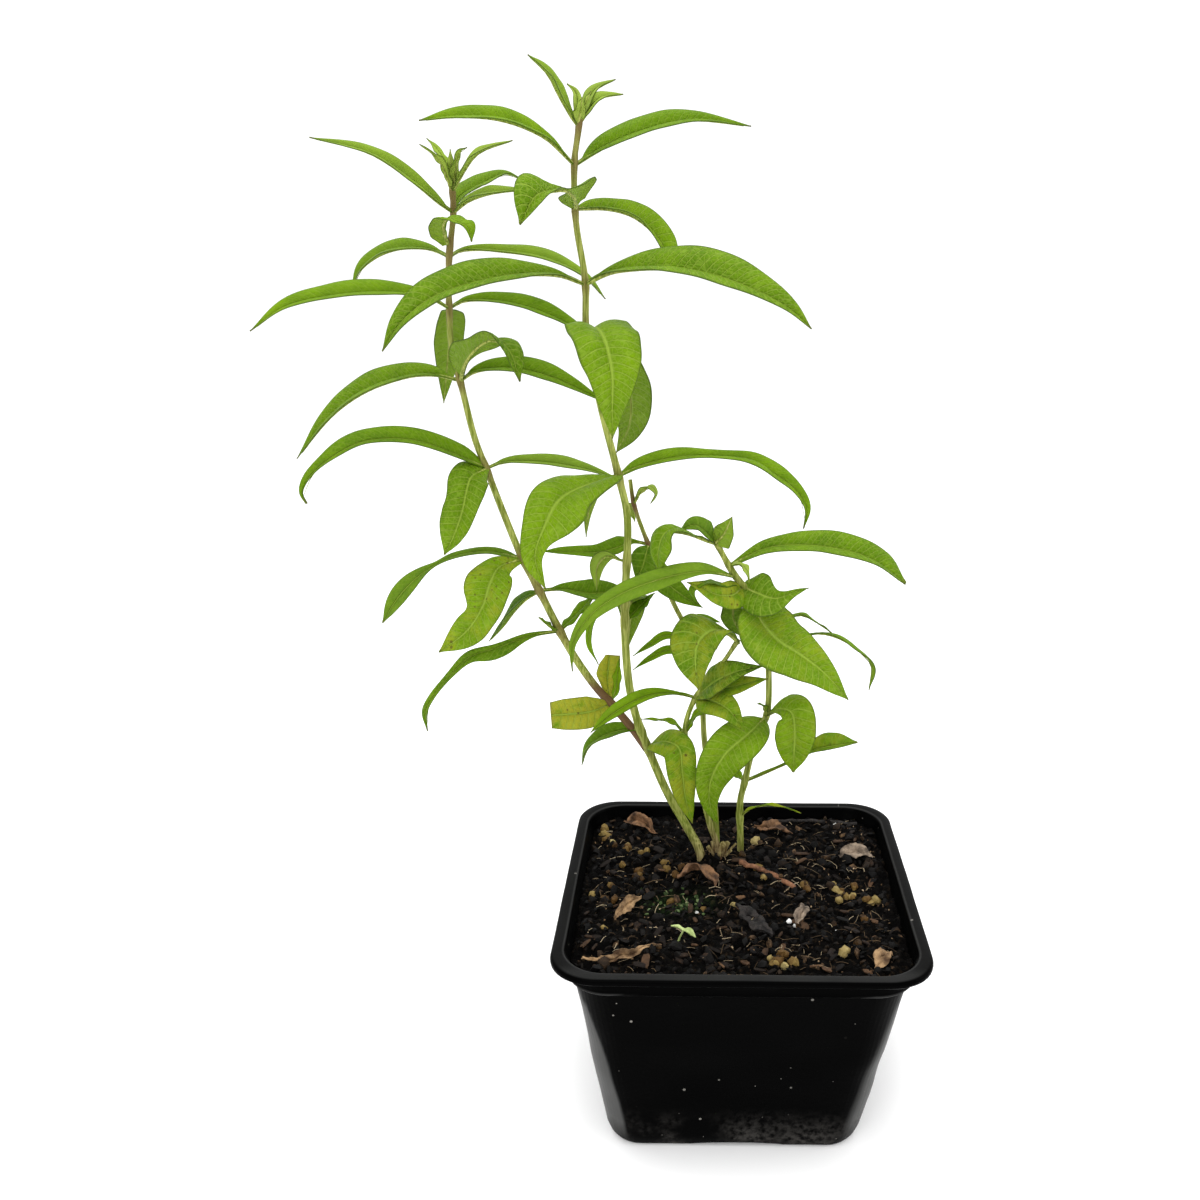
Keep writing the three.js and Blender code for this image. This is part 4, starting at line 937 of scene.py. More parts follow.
tall_route = [
    *standing(-11, 17.5), (-15, 19, 71), (-21, 18, 83), (-26, 17, 96), (-30, 16, 108), (-32, 15, 118),
    (-33, 14, 131), (-33, 13, 144), (-32, 12, 170), (-34, 12, 180), (-39, 12, 201), (-42, 12, 218),
    (-42, 12, 231), (-44, 12, 245), (-44, 12, 259), (-43, 12, 265), (-42, 12, 272),
]
branch_route = [
    (-27, 17, 98), (-32, 18, 105), (-38, 19, 112), (-42.5, 20, 117), (-46.5, 21, 122.5), (-50, 22, 128),
    (-53, 23, 133.5), (-58, 24, 144), (-63, 25, 154), (-68, 26, 167), (-72, 26, 179), (-75, 26, 188),
    (-78, 26, 203), (-80, 26, 213), (-80, 26, 223), (-79, 25, 236), (-77, 24, 247), (-77, 24, 254),
]
middle_route = [
    *standing(-6, 25.5), (-7, 25, 78), (-10, 26, 96), (-11, 27, 111), (-13, 28, 126), (-20, 28, 141),
    (-27, 28, 158), (-31, 27, 170), (-32, 27, 177),
]
short_route = [
    *standing(-5.5, 19.5), (-8, 18, 72), (-11, 17, 85), (-16, 15, 104), (-13, 14, 116), (-5, 12, 128),
    (-1, 11, 135),
]
right_route = [
    *standing(1.5, 23), (1, 20, 80), (2, 19, 86), (5, 17, 102), (8, 16, 110), (8, 15, 126), (7, 14, 138),
    (2, 13, 148), (-2, 12, 153), (-6, 11, 160), (-8, 10, 164),
]
for name, points in (("tall", tall_route), ("branch", branch_route), ("right", right_route)):
    print(name, "stem:", round(smooth_route(points)[2]), "mm long")

# %% [markdown]
# ## Leaves by the list
#
# Leaves stand in whorls of three, or two where one has dropped. Each leaf of the list is a rib, measured from
# the point where it leaves the stem, a width, and how the blade is rolled about that rib. Blades that hold
# themselves up are folded like a keel, and hanging ones are nearly flat. A lopsided or curled blade lists the
# width of each half. Old leaves near the foot are given an age, which their finish shows as yellow and brown.

# %% The leaf lists
KEEL_FOLD = 0.5
FLAT_FOLD = 0.14


def leaf(rib, wide, roll=0, fold=None, age=None, full=0.8, left=None, right=None, limp=None, dark=0.0):
    """One leaf's plan. A roll in degrees tips its right-hand edge down, and may be a list from base to tip.

    left and right are lists of that half's width from base to tip, where the common outline won't do. dark
    deepens the leaf's green as painted shade, and a negative one makes it paler.
    """
    if fold is None:
        fold = KEEL_FOLD if roll else FLAT_FOLD
    if limp is None:
        limp = 0.3 if roll else 1.0
    return {"rib": rib, "wide": wide, "roll": roll, "fold": fold, "age": age, "full": full,
            "left": left, "right": right, "limp": limp, "dark": dark}


tall_whorls = [
    ((-43, 12, 267), [
        leaf([[-4, -2, 6.5], [-6.5, -3, 11], [-11, -4, 15]], 5, roll=-30, full=0.9),
        leaf([[0, 1, 4.5], [-0.5, 2, 7.5], [-2.5, 2, 9.5]], 2.4, roll=-30),
        leaf([[2, 3, 4.5], [4, 5, 8.5], [9, 6, 11]], 3.4, roll=20),
        leaf([[2.5, 2, 3.5], [5.5, 3, 6.5], [11, 4, 7.5]], 3.6, roll=30),
        leaf([[1.5, -1, 4], [3.5, -2, 7.5]], 2),
        leaf([[1, -2, 3.5], [1.5, -3, 6]], 3, fold=0.3),
    ]),
    ((-44, 12, 258), [
        leaf([[-5.5, -6, 5.5], [-15, -12, 9], [-25, -15, 9.5], [-34, -17, 8.5]], 6.4, roll=-33, full=1.1),
        leaf([[6.5, 5, 4.5], [16, 9, 8.5], [28.5, 12, 11.5], [44, 15, 10.5]], 7.6, roll=32, fold=0.45,
             full=0.75),
    ]),
    ((-44, 12, 248), [
        leaf([[5.5, 5, 0.5], [13, 10, -1], [18, 14, -4.5], [21.5, 16, -9.5], [22.5, 16, -13.5]], 9,
             roll=[25, 25, 35, 60, 80],
             left=[0.1, 0.4, 0.6, 0.75, 0.85, 0.95, 1, 0.9, 0.5],
             right=[0.1, 0.3, 0.5, 0.6, 0.6, 0.6, 0.6, 0.4, 0.2]),
        leaf([[0.5, -9, 2.5], [-1, -17, 4], [-3, -21, 3.5], [-6.5, -25, 2], [-10, -28, -4]], 11,
             roll=[30, 25, 0, -20, -20],
             left=[0.5, 1.3, 1.2, 0.7, 0.1, 0.1, 0.4, 0.5, 0.3, 0],
             right=[0.1, 0.6, 0.7, 0.2, 0.1, 0.3, 0.9, 1, 0.6, 0]),
    ]),
    ((-42, 12, 230), [
        leaf([[4, -2, 2.5], [17, -9, 4.5], [29.5, -13, 3.5], [41.5, -16, 0], [51, -18, -4.5],
             [56.5, -19, -9]],
             12.5, roll=30, full=1.0, dark=0.18),
        leaf([[-6, -4, 2.5], [-16, -12, 2.5], [-26, -17, 0.5], [-35.5, -20, -3], [-42.5, -22, -8.5],
              [-47.5, -22, -15]], 11, roll=-30, full=1.1, dark=0.22),
    ]),
    ((-42, 12, 218), [
        leaf([[3.5, -10, 2], [6.5, -18, -1.5], [8, -21, -8], [8, -22, -16], [8, -22, -23.5]], 18,
             full=0.65),
        leaf([[4.5, 10, -2.5], [8, 14, -9.5], [10.5, 17, -19], [9.5, 18, -27.5], [6, 18, -34]], 12.5,
             full=1.2, dark=0.3),
    ]),
    ((-34, 12, 181), [
        leaf([[5.5, 4, 2], [16, 7, 4], [27, 9, 4], [36, 11, 2.5], [42.5, 12, -1.5], [48.5, 13, -6],
             [52, 14, -11.5],
              [51.5, 14, -17.5]], 7.2, roll=[30, 30, 30, 30, 35, 55, 75],
             left=[0.1, 0.6, 0.75, 0.7, 0.5, 0.45, 0.7, 0.95, 0.6, 0.4, 0],
             right=[0.1, 0.5, 0.6, 0.6, 0.6, 0.9, 1.4, 0.9, 0.5, 0.3, 0]),
        leaf([[-7, -9, -0.5], [-14.5, -16, -3.5], [-18, -20, -9.5], [-20.5, -21, -17.5],
             [-18, -22, -25.5]], 17,
             roll=[0, -5, -15, -30, -39, -39], fold=0.14,
             left=[0.1, 0.6, 0.85, 0.95, 1.05, 1.2, 1, 0.4, 0.25, 0.15, 0],
             right=[0.1, 0.4, 0.65, 0.82, 0.88, 0.86, 0.76, 0.6, 0.45, 0.25, 0]),
        leaf([[-6, 8, -4], [-9.5, 13, -11], [-11, 16, -21]], 4.5, dark=0.3),
    ]),
    ((-33, 13, 157), [
        leaf([[-5, 4, 0.5], [-8, 6, -3], [-8.5, 7, -10.5]], 5, roll=40, fold=0.14),
    ]),
    ((-33, 13, 145), [
        leaf([[-6.5, -6, 0.5], [-8.5, -9, -2.5], [-9.5, -10, -8], [-7, -10, -15]], 3),
        leaf([[1, 8, -1], [1, 13, -7], [-0.5, 15, -19.5]], 10, full=0.5, dark=0.4),
    ]),
    ((-33, 14, 139), [
        leaf([[4, 6, 3], [8, 9, 6]], 5, dark=0.3),
    ]),
    ((-29, 16, 105), [
        leaf([[-5.5, 3, -1.5], [-12.5, 5, -5], [-16.5, 6, -9], [-18.5, 7, -15]], 6, roll=-30, dark=0.35),
    ]),
    ((-27, 17, 99), [
        leaf([[5, -6, 4.5], [9.5, -11, 4.5], [10.5, -13, -2], [11.5, -13, -10.5], [13.5, -13, -18.5]], 9.5,
             roll=[15, 35, 46, 46], fold=0.14, age=0.6,
             left=[0.1, 0.9, 0.95, 0.9, 0.9, 0.8, 0.65, 0.4, 0],
             right=[0.1, 0.9, 1.1, 1.1, 1, 0.9, 0.7, 0.4, 0]),
    ]),
]
branch_whorls = [
    ((-77, 24, 252), [
        leaf([[-1, -3, 5.5], [-3, -4, 8.5], [-6.5, -5, 11]], 3.5),
        leaf([[-2, 2, 7.5], [-4, 3, 10.5], [-6.5, 4, 13]], 4.2),
        leaf([[1.5, -2, 5.5], [3, -3, 9.5], [5, -3, 10.5]], 3),
        leaf([[3.5, -3, 4.5], [8, -5, 9], [17, -6, 12]], 3.4, roll=30),
        leaf([[0.5, -2, 6], [0.5, -2, 10]], 2.5),
    ]),
    ((-77, 24, 247), [
        leaf([[-3, -3, 2.5], [-9.5, -6, 8], [-18, -9, 13.5], [-32.5, -10, 17]], 5, roll=-35, full=0.7),
        leaf([[1, 5, 4], [5.5, 10, 7], [12, 13, 10], [16, 14, 9]], 6, roll=20, full=0.8),
        leaf([[4, -4, 2.5], [11, -8, 4.5], [21.5, -11, 5.5]], 4.5, roll=30),
    ]),
    ((-79, 25, 239), [
        leaf([[0.5, -8, 4.5], [3, -14, 6.5], [6, -17, 5.5], [8.5, -18, 4.5], [9.5, -18, 1]], 7.4,
             left=[0.1, 0.15, 0.2, 0.3, 1, 0.8, 0], right=[0.4, 1, 1, 0.6, 0.2, 0.3, 0]),
    ]),
    ((-79, 25, 236), [
        leaf([[-5.5, 5, 2], [-15, 10, 2], [-22, 13, 0], [-28, 15, -4], [-31, 16, -9]], 6,
             roll=[-30, -30, -40, -70],
             full=1.2),
        leaf([[3, 6, 2], [13.5, 9, 1.5], [25.5, 9, -0.5], [35, 9, -5], [40.5, 8, -10.5]], 5.2, roll=30,
             full=1.1),
    ]),
    ((-80, 26, 223), [
        leaf([[-4.5, -7, 3.5], [-15.5, -11, 4.5], [-27.5, -14, 3.5], [-38.5, -16, 1], [-48, -17, -5]], 7,
             roll=-30, full=0.9),
        leaf([[3.5, 4, 2], [14, 6, 1.5], [26.5, 6, -2], [40, 4, -9]], 6.6, roll=30, full=1.0, dark=0.1),
        leaf([[-1.5, 10, -3], [-4, 15, -12], [-7, 18, -27.5]], 8.5, dark=0.15),
    ]),
    ((-78, 26, 204), [
        leaf([[-9, 3, 1.5], [-19.5, 6, -0.5], [-30.5, 9, -5], [-40.5, 11, -12], [-51.5, 12, -24]], 9.5,
             roll=[-28, -30, -40, -45]),
        leaf([[4.5, -3, 3], [14.5, -5, 4], [25, -6, 2], [40, -6, -4.5]], 7.2, roll=30, full=0.9, dark=0.1),
        leaf([[3, -7, 5.5], [8, -13, 10.5], [13, -17, 12.5], [17, -20, 9.5], [19.5, -22, 2.5]], 12,
             roll=[-50, -50, -45, -10, 0], fold=0.3,
             left=[0.1, 0.1, 0.1, 0.3, 0.7, 0.75, 0.5, 0], right=[0.3, 0.9, 1, 0.5, 0.5, 0.5, 0.4, 0],
             dark=0.15),
    ]),
    ((-72, 26, 180), [
        leaf([[-8, -4, 4.5], [-19, -8, 9], [-30.5, -11, 9], [-38.5, -13, 5.5], [-45, -14, 0.5],
             [-48, -14, -4.5],
              [-47, -14, -7.5]], 7.6, roll=-30,
             left=[0.1, 0.6, 0.8, 0.8, 0.8, 0.7, 0.6, 0.5, 0.3, 0.2, 0],
             right=[0.1, 0.8, 1, 0.95, 0.9, 0.85, 0.9, 0.8, 0.45, 0.4, 0.1], dark=0.1),
        leaf([[4, 5, 1], [14, 8, 0.5], [25, 8, -1], [36, 8, -4]], 5, roll=30, full=1.0, dark=0.15),
        leaf([[-3.5, -6, -1.5], [-4.5, -9, -5], [-5.5, -11, -10], [-8, -12, -16.5], [-11, -12, -22]], 12,
             roll=-30, fold=0.14,
             left=[0.1, 0.6, 1, 0.9, 0.7, 0.6, 0.35, 0], right=[0.2, 0.9, 1, 0.85, 0.95, 0.9, 0.6, 0]),
    ]),
    ((-63, 25, 154), [
        leaf([[-9.5, 1, 2], [-20, 3, 0], [-27, 4, -3.5], [-33.5, 5, -8.5], [-39, 6, -14.5], [-44, 7, -22]],
             6,
             roll=[-25, -25, -25, -30, -60, -70, -70], fold=0.3,
             left=[0.1, 0.5, 0.55, 0.55, 0.45, 0.3, 0.7, 1, 1, 0.7, 0],
             right=[0.1, 0.5, 0.55, 0.55, 0.45, 0.3, 0.7, 1, 1, 0.7, 0], dark=0.15),
        leaf([[-6, -5, -1], [-8, -9, -4.5], [-10, -11, -10.5], [-15, -12, -18], [-23, -13, -24]], 15,
             roll=-50, fold=0.1, limp=1.0, age=0.5,
             left=[0.1, 0.3, 0.55, 0.8, 0.85, 0.8, 0.75, 0.7, 0.55, 0.3, 0],
             right=[0.1, 0.2, 0.5, 0.85, 0.97, 0.78, 0.5, 0.6, 0.55, 0.3, 0]),
    ]),
    ((-58, 24, 145), [
        leaf([[-4, 2, -2.5], [-9, 5, -8], [-12.5, 7, -13], [-17.5, 8, -18.5]], 6.5, roll=-25, dark=0.35),
        leaf([[5.5, 2, 0], [14, 4, -2], [20.5, 5, -1.8], [25, 5, -1.5]], 8, roll=30, full=1.3, dark=0.3),
    ]),
    ((-53, 23, 133), [
        leaf([[-2, -1, 1.5], [-5.5, -2, 5]], 5),
        leaf([[-8, -3, -0.5], [-17.5, -7, -3], [-24.5, -9, -5], [-30, -10, -10], [-35.5, -11, -16.5],
              [-38, -11, -21.5], [-38, -11, -27.5]], 9, roll=[-30, -60, -65, -45, -35, -35], fold=0.4,
             left=[0.1, 0.1, 0.3, 0.7, 0.75, 0.4, 0.25, 0.2, 0.2, 0.25, 0],
             right=[0.1, 0.15, 0.25, 0.25, 0.3, 0.4, 0.3, 0.25, 0.25, 0.3, 0], dark=0.1),
        leaf([[4.5, 4, 3.5], [11.5, 6, 11]], 6, dark=0.3),
    ]),
    ((-38, 19, 112), [
        leaf([[-5.5, -4, -1], [-17, -6, -1.5]], 9.5, roll=-70, fold=0.14, age=1.0,
             left=[0.1, 0.7, 1, 1, 0.95, 0.8], right=[0.1, 0.7, 1, 1, 0.95, 0.8]),
        leaf([[-1, 3, 5.5], [-0.5, 5, 13.5]], 7, age=1.0,
             left=[0.1, 0.3, 0.6, 1, 0.8, 0.3], right=[0.1, 0.3, 0.5, 0.8, 1, 0.9]),
        leaf([[1.5, 2, 4], [2.5, 3, 13]], 3.5),
    ]),
]
middle_whorls = [
    ((-31, 27, 170), [
        leaf([[2, -2, 4], [5, -3, 5.5], [6.5, -4, 4], [5, -4, 1]], 3),
        leaf([[-1, 3, -1], [0, 4, -6]], 3),
    ]),
    ((-27, 28, 158), [
        leaf([[-4.5, 1, 0.5], [-9, 2, -1.5], [-14.5, 4, -3.5], [-22, 6, -4], [-32, 8, -4.5]], 7, roll=-50,
             fold=0.2,
             left=[0.1, 0.15, 0.7, 0.6, 0.5, 0.4, 0.3, 0.2, 0],
             right=[0.1, 0.15, 1, 0.95, 0.7, 0.6, 0.5, 0.35, 0], dark=0.3),
        leaf([[3.5, -3, -8.5], [8.5, -4, -13], [16, -5, -17.5]], 7, roll=60, fold=0.1, dark=0.6),
        leaf([[-0.5, -3, -2], [-1.5, -4, -5.5], [-3.5, -4, -9.5]], 8, roll=-40, fold=0.14, dark=0.6),
    ]),
    ((-15, 28, 129), [
        leaf([[-7, -2, 2], [-11.5, -3, -0.5], [-16.5, -5, -3.5]], 2.6, roll=-50, fold=0.1),
        leaf([[0.5, -2, 5], [4, -3, 7], [9, -4, 7]], 5, roll=20),
    ]),
    ((-13, 28, 123), [
        leaf([[-8, -2, 3.5], [-13.5, -4, 1.5], [-18.5, -6, -1.5]], 2.8, roll=-50, fold=0.1),
    ]),
]
short_whorls = [
    ((-16, 15, 104), [
        leaf([[-3, 2.5, 2.6], [-7.5, 4, 3], [-13, 4.5, 3]], 2.5),
        leaf([[3.5, 1, 6], [9.5, 2, 9]], 4.5),
    ]),
    ((-13, 14, 116), [
        leaf([[-4.5, -3, 2.5], [-11.5, -6, 3.5], [-17, -9, 2.5], [-23.5, -11, -1], [-29.5, -12, -6]], 4.6,
             roll=-30, full=1.3),
        leaf([[5.5, -4, 6.5], [12, -7, 11], [19, -8, 13]], 11, age=0.5, roll=40, fold=0.14,
             left=[0.1, 0.6, 1, 1, 0.7, 0.3, 0], right=[0.1, 0.6, 1, 0.9, 0.6, 0.3, 0], dark=0.35),
        leaf([[7.5, -3, 4], [14, -5, 6.5], [20.5, -6, 8.5]], 7, age=0.6, roll=40, fold=0.14, dark=0.35),
        leaf([[5, -5, 1], [9.5, -9, 0], [14, -10, -6]], 9.5, age=0.5, full=0.6, roll=40, fold=0.14,
             dark=0.25),
    ]),
    ((-1, 11, 134), [
        leaf([[-2.5, -3, 4], [-7.5, -6, 5.5], [-11, -8, 3], [-12, -10, -1.5], [-11, -10, -10.5]], 13.5,
             age=0.5,
             roll=[0, 0, -20, -50, -50], fold=0.14,
             left=[0.1, 0.15, 0.3, 0.7, 0.9, 0.9, 0.8, 0.65, 0.45, 0.25, 0],
             right=[0.1, 0.15, 0.4, 0.9, 1.25, 1.25, 1.15, 0.9, 0.6, 0.3, 0], dark=0.35),
    ]),
]
right_whorls = [
    ((-8, 10, 163), [
        leaf([[-4, -3, 2.5], [-8.5, -6, 4.5], [-13, -8, 5], [-15, -9, 1], [-15, -10, -5.5]], 9.4,
             left=[0.1, 0.15, 0.2, 0.3, 0.8, 1, 1.1, 1.4, 1.5, 0.9, 0],
             right=[0.1, 0.15, 0.2, 0.3, 0.8, 1, 1, 0.9, 0.7, 0.4, 0], dark=0.2),
        leaf([[-2.5, -2, 3.5], [-5.5, -2, 5.5], [-9.5, -3, 4.5]], 6, roll=-40, dark=0.35),
        leaf([[2.5, -3, 3.5], [4.5, -4, 8.5]], 7.5, roll=-70, fold=0.1,
             left=[0.3, 1, 0.8, 0.6, 0.3, 0], right=[0.3, 0.7, 0.9, 0.8, 0.4, 0]),
    ]),
    ((-4, 12, 156), [
        leaf([[10, 3, 4.5], [20, 5, 5], [31.5, 8, 3], [40.5, 9, 0], [51, 10, -7.5]], 10, roll=30,
             left=[0.1, 0.3, 0.5, 0.75, 0.9, 1, 0.95, 0.85, 0.1],
             right=[0.1, 0.5, 0.8, 0.9, 1, 1, 0.9, 0.7, 0]),
        leaf([[2.5, -2, 1.5], [5, -3, -0.5], [5.5, -3, -4]], 3),
    ]),
    ((-2, 12, 153), [
        leaf([[-10, -9, 4], [-22, -15, 3], [-32, -20, 0], [-39, -22, -5], [-43, -23, -11.5],
             [-43.5, -24, -15.5],
              [-43.5, -24, -19.5]], 5.8, roll=[-35, -60, -60, -60, -40], fold=0.25,
             left=[0.1, 0.1, 0.3, 0.6, 0.95, 1, 0.9, 0.7, 0.5, 0.3, 0],
             right=[0.1, 0.5, 0.85, 1, 1, 0.95, 0.9, 0.75, 0.55, 0.3, 0], dark=0.2),
    ]),
    ((0, 13, 150), [
        leaf([[-3, -5, -1], [-7.5, -8, 0], [-12, -9, 2.5], [-15.5, -10, 4]], 8.5, age=0.6, roll=-60,
             fold=0.1,
             left=[0.2, 0.9, 1, 0.9, 0.7, 0.5, 0.3, 0], right=[0.2, 0.9, 1, 0.9, 0.7, 0.5, 0.3, 0]),
        leaf([[-7, -5, 2], [-12, -8, 3], [-14, -9, 1.5], [-12.5, -9, -2.5]], 5, dark=0.3),
        leaf([[4, -3, -1], [9, -6, -1.5], [14, -8, 1], [17.5, -9, 2.5]], 12, roll=50, fold=0.1,
             left=[0.3, 1, 1, 0.6, 0.35, 0.2, 0.12, 0], right=[0.3, 0.9, 1.1, 1.1, 0.8, 0.4, 0.2, 0],
             dark=0.3),
    ]),
    ((2, 13, 147), [
        leaf([[4, -4, -7], [8, -7, -10.5], [14, -10, -13.5], [20.5, -12, -18], [27.5, -13, -25.5]], 18,
             roll=30,
             fold=0.14, age=0.3,
             left=[0.1, 0.9, 1, 0.92, 0.8, 0.62, 0.44, 0.22, 0],
             right=[0.1, 0.85, 1.1, 1.25, 1.15, 0.9, 0.62, 0.35, 0], dark=0.28),
        leaf([[-4, 1, -2], [-4.5, 2, -7], [-1.5, 3, -13]], 7, dark=0.6),
    ]),
    ((7, 14, 138), [
        leaf([[10, 5, 2], [16, 7, -1.5], [20.5, 8, -5]], 3),
    ]),
    ((7, 15, 131), [
        leaf([[14.5, 4, 3.5], [21.5, 6, 1.5], [27, 6, -2], [31.7, 6, -7], [31.2, 5, -14.5]], 4,
             left=[0.1, 0.35, 0.4, 0.5, 0.7, 0.9, 1.3, 1, 0],
             right=[0.1, 0.35, 0.4, 0.5, 0.7, 0.9, 1.2, 1, 0], dark=0),
    ]),
    ((8, 16, 110), [
        leaf([[-1, -1, 3.5], [-3, -2, 4.5]], 2.5),
        leaf([[3, -5, 4], [6.5, -8, 4], [7.5, -10, -0.8], [7.5, -10.5, -6], [7.5, -10.5, -13.5]], 12.5,
             age=0.3,
             roll=[25, 30, 37, 37], fold=0.1,
             left=[0.1, 0.4, 0.9, 1, 1, 0.95, 0.8, 0.5, 0],
             right=[0.1, 0.15, 0.3, 0.55, 0.85, 0.95, 0.8, 0.5, 0]),
        leaf([[-5.5, -9, -2], [-12.5, -13, -7], [-16.3, -14, -14.5], [-16.5, -14, -22], [-14, -14, -29]],
             13,
             roll=[-20, -45, -45], fold=0.14, full=0.65, dark=0.12),
    ]),
    ((2, 19, 87), [
        leaf([[6, 0, 3], [15, -2, 8.5], [20.5, -3, 12], [27.5, -4, 14], [33, -4, 15]], 8, roll=25, age=0.4,
             left=[0.1, 0.1, 0.1, 0.12, 0.15, 0.65, 1.05, 0.85, 0],
             right=[0.1, 0.1, 0.1, 0.12, 0.15, 0.3, 0.5, 0.35, 0]),
        leaf([[-2.5, 3, 1.5], [-5, 5, 4]], 3),
    ]),
    ((1, 21, 74), [
        leaf([[3, -1, 3.5], [6.5, -2, 5], [12, -3, 5.5], [18.5, -4, 3.5]], 1.2, age=0.6, dark=-0.4),
    ]),
]
all_whorls = tall_whorls + branch_whorls + middle_whorls + short_whorls + right_whorls
print("leaves on the list:", sum(len(plans) for _, plans in all_whorls))

# %% [markdown]
# ### One blade
#
# A blade starts as a flat grid, long in the direction of the rib. Its vertices are then carried to their
# places by one formula: the outline narrows to both ends, the two halves rise from the rib like a keel, the
# margin waves, and the side veins press shallow grooves that slant towards the tip. Solidify gives the sheet
# its thickness and its paler underside. Modelling each leaf by hand would give the same result far slower.

# %% A blade's shape
LEAF_WAVES = 2.5              # waves of the margin from base to tip
LEAF_WAVE = 0.45              # and their height, in millimetres
RIPPLE = 0.02                 # height of the small ripples, as a share of the leaf's width
GROOVE = 0.05                 # half the depth of the grooves over the side veins, in millimetres
SWELL = 0.16                  # how far each half bulges upwards, as a share of its width
VEIN_GAP = 1.9                # from one side vein to the next, in millimetres along the rib
VEIN_SLANT = 0.07             # how far along the rib a vein runs on by the time it meets the margin
STALK_HALF = 0.55


def outline_at(t, full):
    """The blade's width at this share of the rib, from 0 to 1. A low full is broad near the stalk."""
    return np.sin(math.pi * np.clip((t - 0.05) / 0.95, 0, 1) ** full)


def by_stations(t, values):
    """The value at t between equally spaced stations, with their corners rounded."""
    stations = np.linspace(0, 1, len(values))
    return sum(np.interp(t + shift, stations, values) for shift in (-0.03, 0, 0.03)) / 3


def blade_frame(plan, on, t):
    """Places on the rib, the sideways and upward directions of the blade there, and the rib's length."""
    way = smooth_route([(0, 0, 0), *plan["rib"]])
    place, ahead = along(way, t)
    tip = np.array(plan["rib"][-1], float)
    heading = tip[:2] / np.hypot(*tip[:2])
    level = crosswise(np.tile([heading[1], -heading[0], 0.0], (len(t), 1)), ahead)
    upright = np.cross(level, ahead)
    angle = np.radians(by_stations(t, np.atleast_1d(plan["roll"])))[:, None]
    side = level * np.cos(angle) - upright * np.sin(angle)
    return place + np.array(on, float), side, np.cross(side, ahead), way[2]


def blade_places(on, plan, across, t, luck):
    """Where a flat blade's points go. across is -1 at the left margin, 0 on the rib and 1 at the right."""
    place, side, upward, length = blade_frame(plan, on, t)
    wide, limp = plan["wide"], plan["limp"]
    bulk = outline_at(t, plan["full"])
    left, right = (bulk if plan[edge] is None else by_stations(t, plan[edge]) for edge in ("left", "right"))
    half = np.maximum(STALK_HALF * (1 - 0.8 * t), wide / 2 * np.where(across < 0, left, right))
    phase = 2 * math.pi * length / VEIN_GAP * (t - VEIN_SLANT * np.abs(across))
    wave = limp * LEAF_WAVE * np.sin(2 * math.pi * LEAF_WAVES * t + across) * np.abs(across) ** 1.5 * bulk
    ripple = limp * RIPPLE * wide * np.sin(2 * math.pi * (5.3 * t + luck) + 2 * across) * across ** 2 * bulk
    inner = np.minimum(1, 5 * np.abs(across)) * (1 - np.abs(across) ** 4)
    grooves = -GROOVE * np.cos(phase) * inner * bulk * min(1, wide / 8)
    swell = SWELL * half * np.sin(math.pi * np.abs(across))
    rise = np.abs(across) * half * plan["fold"] + wave + ripple + grooves + swell
    return place + side * (across * half)[:, None] + upward * rise[:, None]


sample_edge = blade_places((0, 0, 0), tall_whorls[3][1][0], np.array([1.0]), np.array([0.5]), 0.5)
print("the middle of one leaf's right margin is at", np.round(sample_edge[0], 1))

# %% Shape a blade
BLADE_ACROSS, BLADE_ALONG = 14, 84
BLADE_THICK = 0.26
KEELED = 0.25                 # blades that are folded more than this hold themselves up, and get painted shade
BUD_HEIGHT, BUD_WIDTH = 150, 6.5   # above and under these a leaf is a pale young one
OLDEST, YOUNG_HEIGHT = 0.28, 200   # a leaf's age at the floor, and the height where it is 0
FULL_VEINS = 11               # leaves this wide show their veins fully
RIB_TAPER = 0.86              # how much of its thickness a midrib loses on its way to the tip

bpy.ops.mesh.primitive_grid_add(x_subdivisions=BLADE_ACROSS, y_subdivisions=BLADE_ALONG, size=MM)
flat_blade = bpy.context.object
flat_blade.name = "flat blade"


def shape_blade(on, plan, luck):
    """A copy of the flat blade, shaped by its plan."""
    blade = flat_blade.copy()
    blade.data = flat_blade.data.copy()
    bpy.context.collection.objects.link(blade)
    flat = positions(blade)
    move_vertices(blade, blade_places(on, plan, 2 * flat[:, 0], flat[:, 1] + 0.5, luck))
    # painted shade: keeled blades and the leaves listed with dark are darker, and luck gives each leaf a
    # random tone
    shaded_keel = plan["fold"] > KEELED
    paint(blade, "tone_and_shade", 0.45 * luck + (0.3 if shaded_keel else 0.1) + plan["dark"])
    paint(blade, "pale", max(0, 1 - plan["wide"] / BUD_WIDTH) if on[2] > BUD_HEIGHT else 0)
    by_height = OLDEST * max(0, 1 - on[2] / YOUNG_HEIGHT)
    paint(blade, "age", by_height if plan["age"] is None else plan["age"])
    paint(blade, "veins", blade_frame(plan, on, np.zeros(1))[3] / VEIN_GAP)
    paint(blade, "veined", min(1, (plan["wide"] / FULL_VEINS) ** 2))
    return blade


def shape_rib(on, plan):
    """The leaf's stalk and the raised midrib under its blade, as one thin tapering tube."""
    t = np.linspace(0, 0.96, 9)
    place, _, upward, _ = blade_frame(plan, on, t)
    thick = min(0.6, 0.3 + 0.022 * plan["wide"])
    sink = np.where(t < 0.06, 0.0, 0.7 * thick)
    points = place - upward * sink[:, None]
    rib = bent_tube("rib", points, lambda share: thick * (1 - RIB_TAPER * share), sides=8, step=2.5)
    paint(rib, "tone_and_shade", 0.5)
    return rib


sample = shape_blade((0, 0, 0), tall_whorls[3][1][0], 0.5)
sample_size = [round(v / MM) for v in sample.dimensions]
print("a long leaf is", sample_size, "mm, with", len(sample.data.polygons), "faces")
bpy.data.objects.remove(sample)

